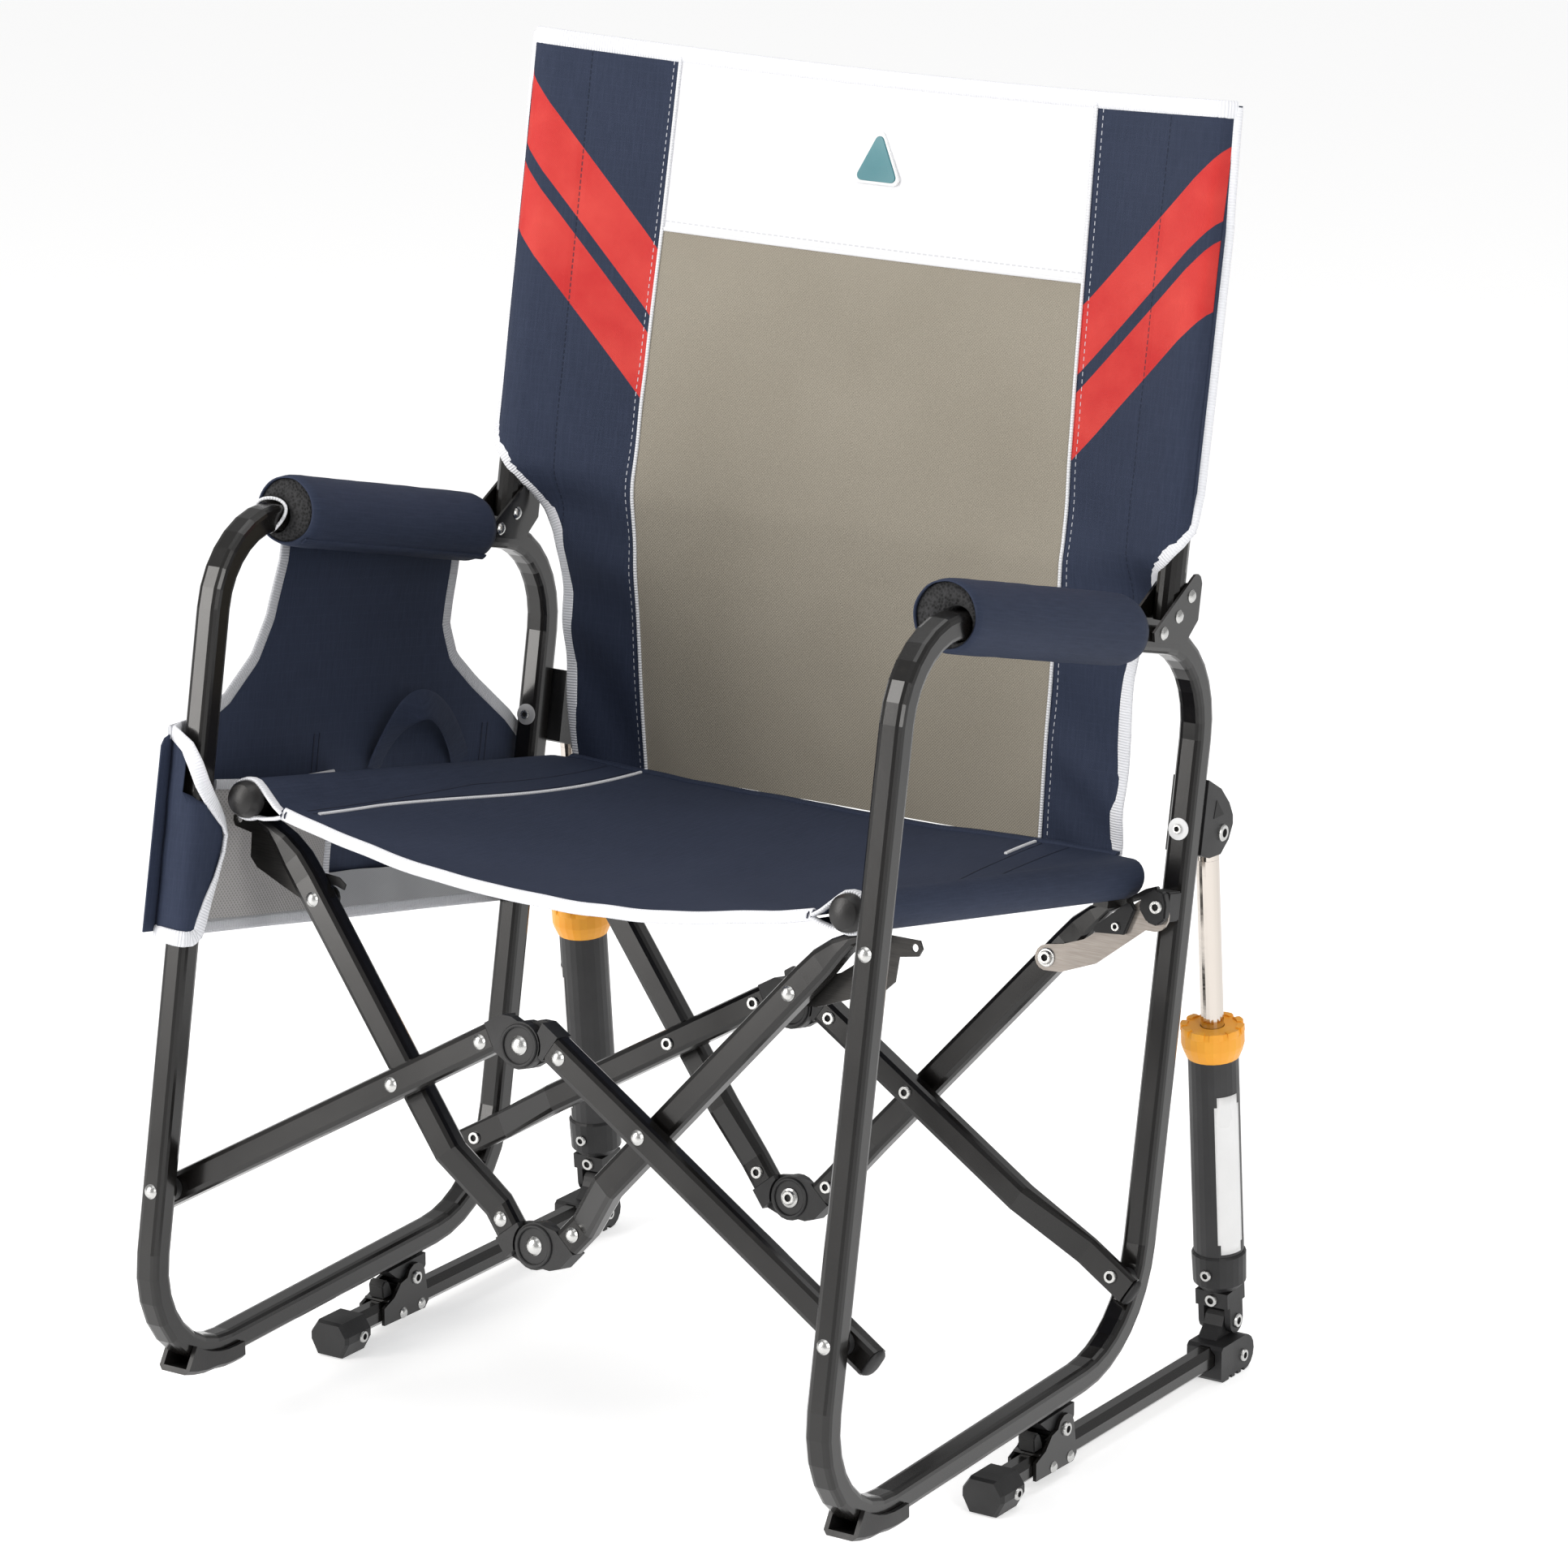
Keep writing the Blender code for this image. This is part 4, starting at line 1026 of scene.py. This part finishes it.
def badge():
    """Plain triangular badge on the head panel: a generic shape, with no picture or letters."""
    centre = (0.001, 0.716)
    y = back_depth(*centre, 1) - 0.0003
    for name, size, depth, look in (("badge_rim", 0.0185, 0.002, "badge_rim"),
                                    ("badge_face", 0.016, 0.0027, "badge")):
        outline = []
        for k in range(3):
            corner = radians(90 + 120 * k)
            for j in range(7):
                a = corner + radians(-60 + 20 * j)
                outline.append(lean(centre[0] + size * (cos(corner) * 0.84 + cos(a) * 0.22), y,
                                    centre[1] + size * (sin(corner) * 0.98 + sin(a) * 0.22)))
        obj = slab(name, outline, FRONT * depth, look, 0.0004)
        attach(obj, "root")
        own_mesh(obj)


# ---------------- seat

SEAT_FRONT, SEAT_REAR = 0.0215, 0.374
SEAT_X = 0.205               # where the hammock ends and the sleeve round the rail starts
SLEEVE = RAIL[2] + 0.0016    # radius of the sleeve


def seat_height(x, y, side):
    """Height of the hammock between the rails."""
    t = max(0.0, (y - SEAT_FRONT) / (SEAT_REAR - SEAT_FRONT))
    front = 0.236 + 0.025 * (x / SEAT_X) ** 2
    rear = 0.276 + 0.0045 * (x / SEAT_X) ** 2
    calm = smooth((SEAT_X - x) / 0.04)
    z = mix(front, rear, t ** 1.6) + crease(x * side, y, 11.0, 8.0, 0.0014) * calm
    return z + 0.0008 * calm * noise.noise(Vector((x * side * 30, y * 6, 4.0)))


def seat_point(x, y, side):
    """The seat's surface; past the inner edge of the sleeve it climbs over the rail."""
    if x <= SEAT_X:
        return lean(side * x, y, seat_height(x, y, side))
    lift = smooth((x - SEAT_X) / (RAIL[0] - SEAT_X))
    return lean(side * x, y, mix(seat_height(SEAT_X, y, side), RAIL[1] + SLEEVE, lift))


def soft_seat(obj, label):
    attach(obj, body_of("seat", label))
    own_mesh(obj)
    return obj


def front_bow(x):
    """The front edge runs a little further back towards the middle."""
    return SEAT_FRONT + 0.003 * (1 - (x / SEAT_X) ** 2)


def piping_x(y):
    """The piping runs along the sleeve and then inwards to the back rest."""
    return mix(0.1975, 0.1585, smooth((y - 0.11) / 0.26) ** 0.9)


def seat_sheet(label, s):
    """Half of the hammock, its sleeve over and round the rail, and the hem back under it."""
    rail_x, rail_z, _ = RAIL
    rows = []
    for r in range(49):
        t = r / 48
        row = []
        for c in range(35):
            x = mix(0.0, rail_x, c / 34)
            y = mix(front_bow(min(x, SEAT_X)), SEAT_REAR, t)
            row.append((seat_point(x, y, s), (x, y)))
        for c in range(1, 15):
            a = radians(mix(90, -92, c / 14))
            y = mix(SEAT_FRONT, 0.362 + 0.012 * (1 - c / 14), t)
            row.append((lean(s * (rail_x + cos(a) * SLEEVE), y, rail_z + sin(a) * SLEEVE),
                        (rail_x + SLEEVE * radians(182) * c / 14, y)))
        for c in range(1, 11):
            k = c / 10
            y = mix(SEAT_FRONT, 0.36, t)
            under = seat_height(SEAT_X, min(y, 0.3), s) - 0.0032
            row.append((lean(s * mix(rail_x - 0.0006, 0.204, k), y,
                             mix(rail_z - SLEEVE, under, smooth(k))), (0.28 + 0.03 * k, y)))
        rows.append(row)
    obj = soft_seat(cloth(f"seat_cloth_{label}", rows, "navy", 0.0012), label)
    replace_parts(obj, f"seat_{label}")


def seat_loops(label, s):
    """Binding round the front of each rail's sleeve, and the tacks where it meets the edge."""
    rail_x, rail_z, _ = RAIL
    centre = lean(s * rail_x, SEAT_FRONT - 0.0012, rail_z)
    for name, start, angles in (
            ("upper", [(0.205, 0.2612), (0.211, 0.265), (0.218, 0.2712), (0.2235, 0.2762)],
             (112, 95, 78, 60, 42, 24, 6, -12)),
            ("lower", [(0.205, 0.259), (0.211, 0.257), (0.219, 0.2556)],
             (-122, -105, -88, -70, -52, -34, -16))):
        outline = start + [(rail_x + 0.0132 * cos(radians(a)), rail_z + 0.0132 * sin(radians(a)))
                           for a in angles]
        points = [lean(s * x, SEAT_FRONT - 0.0012, z) for x, z in outline]
        soft_seat(tape(f"seat_loop_{name}_{label}", [(p, p - centre) for p in points],
                       oval(0.008, 0.0026), "tape"), label)
    for k, x in enumerate((0.202, 0.2065)):
        tack = [(seat_point(min(x, SEAT_X), SEAT_FRONT - 0.0004, s) + lean_way(0, dy, dz),
                 lean_way(0, -1, 1)) for dy, dz in
                ((0.004, 0.0026), (-0.0008, 0.003), (-0.0032, 0.001), (-0.0034, -0.0014),
                 (-0.0012, -0.0032))]
        soft_seat(tape(f"seat_tack_{k}_{label}", tack, oval(0.0011, 0.0009, 8), "thread"), label)


def seat_cloth():
    for label, s in SIDES:
        seat_sheet(label, s)

        def edge(t):
            x = mix(0.0, 0.207, t)
            return (seat_point(min(x, SEAT_X), front_bow(x), s) + lean_way(0, -0.0008, 0.0002),
                    lean_way(0, -1, 0.35))

        def piping(t):
            y = mix(0.05 if s < 0 else 0.33, SEAT_REAR - 0.002, t)
            return seat_point(piping_x(y), y, s) + lean_way(0, 0, 0.0011), lean_way(0, 0, 1)

        def seam(gap):
            def place(t):
                y = mix(0.046, SEAT_REAR - 0.004, t)
                x = piping_x(y) + gap * mix(0.3, 1.0, smooth((y - 0.05) / 0.15))
                return (seat_point(min(x, 0.2045), y, s) + lean_way(0, 0, 0.0007), lean_way(0, 0, 1))
            return place

        def rear(t):
            return (seat_point(mix(0.0, 0.22, t), SEAT_REAR, s) + lean_way(0, 0.0016, 0.0012),
                    lean_way(0, -0.3, 1))

        seat_loops(label, s)
        thread = oval(0.0009, 0.0005, 6)
        for name, steps, place, section, look in (
                ("seat_binding", 48, edge, oval(0.0086, 0.0044), "tape"),
                ("seat_piping", 60, piping, oval(0.0024, 0.0022, 8), "cord"),
                ("seat_seam_0", 60, seam(0.0062), thread, "thread"),
                ("seat_seam_1", 60, seam(0.027), thread, "thread"),
                ("seat_rear_hem", 40, rear, oval(0.007, 0.0026), "navy")):
            soft_seat(tape(f"{name}_{label}", stops(steps, place), section, look), label)


# ---------------- storage panel

PANEL_X, PANEL_LOW, PANEL_HIGH = -0.2768, 0.174, 0.44
# Rows of (height, depth) of the panel's front and rear edges, and of the wrap's inner edge.
FRONT_EDGE = [(0.176, -0.024), (0.3, -0.0225), (0.306, -0.015), (0.311, 0.016),
              (0.326, 0.045), (0.352, 0.072), (0.379, 0.086), (0.417, 0.094)]
REAR_EDGE = [(0.172, 0.41), (0.215, 0.406), (0.269, 0.398), (0.287, 0.395),
             (0.302, 0.375), (0.327, 0.331), (0.345, 0.305), (0.368, 0.293),
             (0.403, 0.294), (0.43, 0.293)]
WRAP_EDGE = [(0.175, -0.003), (0.199, 0.006), (0.22, 0.014), (0.242, 0.017),
             (0.259, 0.004), (0.27, -0.006), (0.3, -0.011)]
# The wrap's binding, from the front edge round the leg, down its inner edge and back.
WRAP_BINDING = [(-0.2768, 0.012, 0.3085), (-0.2772, -0.003, 0.3075),
                (-0.2745, -0.0135, 0.306), (-0.268, -0.0158, 0.3035),
                (-0.26, -0.016, 0.2985), (-0.2535, -0.0145, 0.288),
                (-0.25, -0.01, 0.276), (-0.249, -0.003, 0.267),
                (-0.2486, 0.005, 0.259), (-0.2484, 0.014, 0.25),
                (-0.2482, 0.018, 0.242), (-0.2482, 0.017, 0.229),
                (-0.2484, 0.012, 0.212), (-0.2486, 0.006, 0.198),
                (-0.2488, 0.001, 0.184), (-0.249, -0.002, 0.176),
                (-0.2496, -0.007, 0.173), (-0.252, -0.013, 0.1725),
                (-0.256, -0.0158, 0.1728), (-0.266, -0.0165, 0.1735),
                (-0.2745, -0.0135, 0.1735), (-0.2772, -0.004, 0.1735)]


def panel_x(y, z):
    """The panel hangs slightly slack outside the left frame."""
    over = smooth((0.43 - z) / 0.05) * smooth((z - 0.17) / 0.04)
    bulge = -0.003 * over * sin(pi * max(0.0, min(1.0, (y - 0.02) / 0.36)))
    return PANEL_X + bulge + crease(y, z, 15.0, 9.0, 0.0016) * smooth((y + 0.01) / 0.06)


def hang(obj):
    """A soft piece that rides with the left side frame."""
    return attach(obj, "side_left")


def panel_wrap(up, across, steps=11):
    """The panel's front end goes round the leg and back along its inner face."""
    z = mix(0.175, 0.3, up)
    inner = along(WRAP_EDGE, z)
    path = [(PANEL_X, -0.007), (PANEL_X + 0.001, -0.0115), (PANEL_X + 0.005, -0.0145),
            (-0.265, -0.0151), (-0.256, -0.0145), (-0.2515, -0.0115), (-0.2496, -0.006)]
    if inner > -0.004:
        path += [(-0.2494, mix(-0.006, inner, k / 5)) for k in range(1, 6)]
    else:
        path = path[:4] + [(-0.262, -0.0145)] * 8
    last = round(across * steps)
    travelled = 0.0
    for (x0, y0), (x1, y1) in zip(path[:last], path[1:]):
        travelled += sqrt((x1 - x0) ** 2 + (y1 - y0) ** 2)
    x, y = path[last]
    return lean(x + 0.0003 * sin(z * 160), y, z), (travelled, z)


def panel_sheets():
    def place(up, across):
        z = mix(PANEL_LOW, PANEL_HIGH, up)
        y = mix(along(FRONT_EDGE, z), along(REAR_EDGE, z), across)
        return lean(panel_x(y, z), y, z), (y, z)

    def lining(up, across):
        y = mix(0.03, 0.402, across)
        top = mix(0.248, 0.202, smooth((y - 0.1) / 0.05))
        z = mix(0.1775, top, up)
        gap = 0.0034 + 0.0014 * sin(across * 40 * 0.9) * up
        return lean(panel_x(y, z) + gap, y, z), (y, z)

    def pocket(up, across):
        y, z = mix(0.032, 0.168, across), mix(0.18, 0.27, up)
        sag = 0.01 * sin(pi * across) * (0.35 + 0.65 * up)
        return lean(panel_x(y, z) + 0.006 + sag, y, z), (y, z)

    obj = cloth("panel_cloth", grid(56, 48, place), "navy", 0.0011)
    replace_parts(hang(obj), "side_panel")
    wrap = hang(cloth("panel_wrap", grid(16, 11, panel_wrap), "navy", 0.0011))
    hem = hang(cloth("pocket_lining", grid(12, 40, lining), "lining"))
    net = hang(cloth("pocket_mesh", grid(16, 24, pocket), "pocket"))


def panel_bindings():
    out = lean_way(-1, 0, 0)

    def edge(table, z_from):
        def place(t):
            z = mix(z_from, PANEL_HIGH, t)
            y = along(table, z)
            return lean(panel_x(y, z), y, z), out
        return place

    def low(t):
        y = mix(-0.006, 0.41, t)
        return lean(panel_x(y, PANEL_LOW), y, 0.1735), out

    def rim(t):
        y = mix(0.032, 0.168, t)
        return lean(panel_x(y, 0.27) + 0.0062 + 0.01 * sin(pi * t), y, 0.27), out

    def post(t):
        z = mix(0.182, 0.268, t)
        return lean(panel_x(0.168, z) + 0.0064, 0.168, z), out

    for name, steps, place, width in (
            ("panel_front_binding", 40, edge(FRONT_EDGE, 0.306), 0.0095),
            ("panel_rear_binding", 60, edge(REAR_EDGE, PANEL_LOW), 0.0095),
            ("panel_low_binding", 50, low, 0.0095), ("pocket_rim", 24, rim, 0.007),
            ("pocket_post", 12, post, 0.007)):
        hang(tape(name, stops(steps, place), oval(width, 0.003), "grey_tape"))
    path = []
    for a, b in zip(WRAP_BINDING, WRAP_BINDING[1:]):
        for k in range(4):
            p = Vector(a).lerp(Vector(b), k / 4)
            path.append((lean(*p), lean_way(p.x + 0.2625, (p.y - 0.002) * 0.8, 0)))
    hang(tape("panel_wrap_binding", path, oval(0.0105, 0.003), "tape"))


def side_panel():
    panel_sheets()
    panel_bindings()

    def handle(t):
        bow = sin(pi * t)
        return (lean(PANEL_X + 0.003 + 0.015 * bow, mix(0.215, 0.318, t) - 0.02 * bow,
                     0.272 + 0.045 * bow ** 0.8), lean_way(1, 0.25 * cos(pi * t), 0.3))
    hang(tape("handle_loop", stops(32, handle), oval(0.021, 0.002, 12), "navy_solid"))
    for name, start in (("front", 0.15), ("rear", 0.345)):
        for k in range(2):
            def seam(t):
                y, z = start + 0.006 * k, mix(0.215, 0.298, t)
                return lean(panel_x(y, z) + 0.0009, y, z), lean_way(1, 0, 0)
            hang(tape(f"panel_seam_{name}_{k}", stops(20, seam), oval(0.001, 0.0006, 6), "thread"))


# ---------------- assembly

folding_hardware()
knuckle_rims()
arm_and_head_hardware()
base_hardware()
collars()
rod_tops()
stickers()
corner_bits()
arm_pads()
back_rest()
badge()
seat_cloth()
side_panel()


# ---------------- stage, light, camera

def area_light(name, place, target, size, power, colour=(1, 1, 1), height=None):
    lamp = bpy.data.lights.new(name, "AREA")
    lamp.shape = "RECTANGLE"
    lamp.size = size
    lamp.size_y = height or size
    lamp.energy = power
    lamp.color = colour
    obj = bpy.data.objects.new(name, lamp)
    bpy.context.scene.collection.objects.link(obj)
    obj.location = place
    obj.rotation_euler = (Vector(target) - Vector(place)).to_track_quat("-Z", "Y").to_euler()


def stage_and_camera():
    scene = bpy.context.scene
    scene.view_settings.view_transform = "Standard"
    far, low = 30, -0.0002
    floor = make("floor", [(-far, -far, low), (far, -far, low), (far, far, low), (-far, far, low)],
                 [(0, 1, 2, 3)], "white")
    floor.data.materials.clear()
    pale = Nodes("floor_paint", (0.88, 0.88, 0.88), 0.75, Emission_Color=(1, 1, 1, 1),
                 Emission_Strength=0.5)
    pale.bump(pale.noise(30, 2), 0.02, 0.001)
    floor.data.materials.append(pale.mat)

    world = bpy.data.worlds.new("studio")
    scene.world = world
    world.use_nodes = True
    sky = world.node_tree.nodes["Background"]
    sky.inputs[0].default_value = (1.0, 1.0, 1.0, 1)
    sky.inputs[1].default_value = 0.48

    area_light("key", (-1.7, -2.3, 1.5), (0, 0, 0.45), 1.1, 62, (1.0, 0.975, 0.945), 2.4)
    area_light("fill", (2.4, -1.6, 1.7), (0, 0, 0.4), 0.5, 24, (1.0, 0.985, 0.965), 2.2)
    area_light("top", (0.2, 0.2, 2.8), (0, 0, 0.4), 2.4, 26)

    lens = bpy.data.cameras.new("camera")
    lens.lens = 152.0
    lens.sensor_width = 36.0
    lens.shift_x = 0.059
    lens.shift_y = -0.0226
    lens.clip_end = 100
    camera = bpy.data.objects.new("camera", lens)
    scene.collection.objects.link(camera)
    camera.location = (2.3066, -3.5028, 1.6203)
    camera.rotation_euler = (radians(90 - 15.48), 0, radians(33.46))
    scene.camera = camera


stage_and_camera()
bpy.context.view_layer.update()
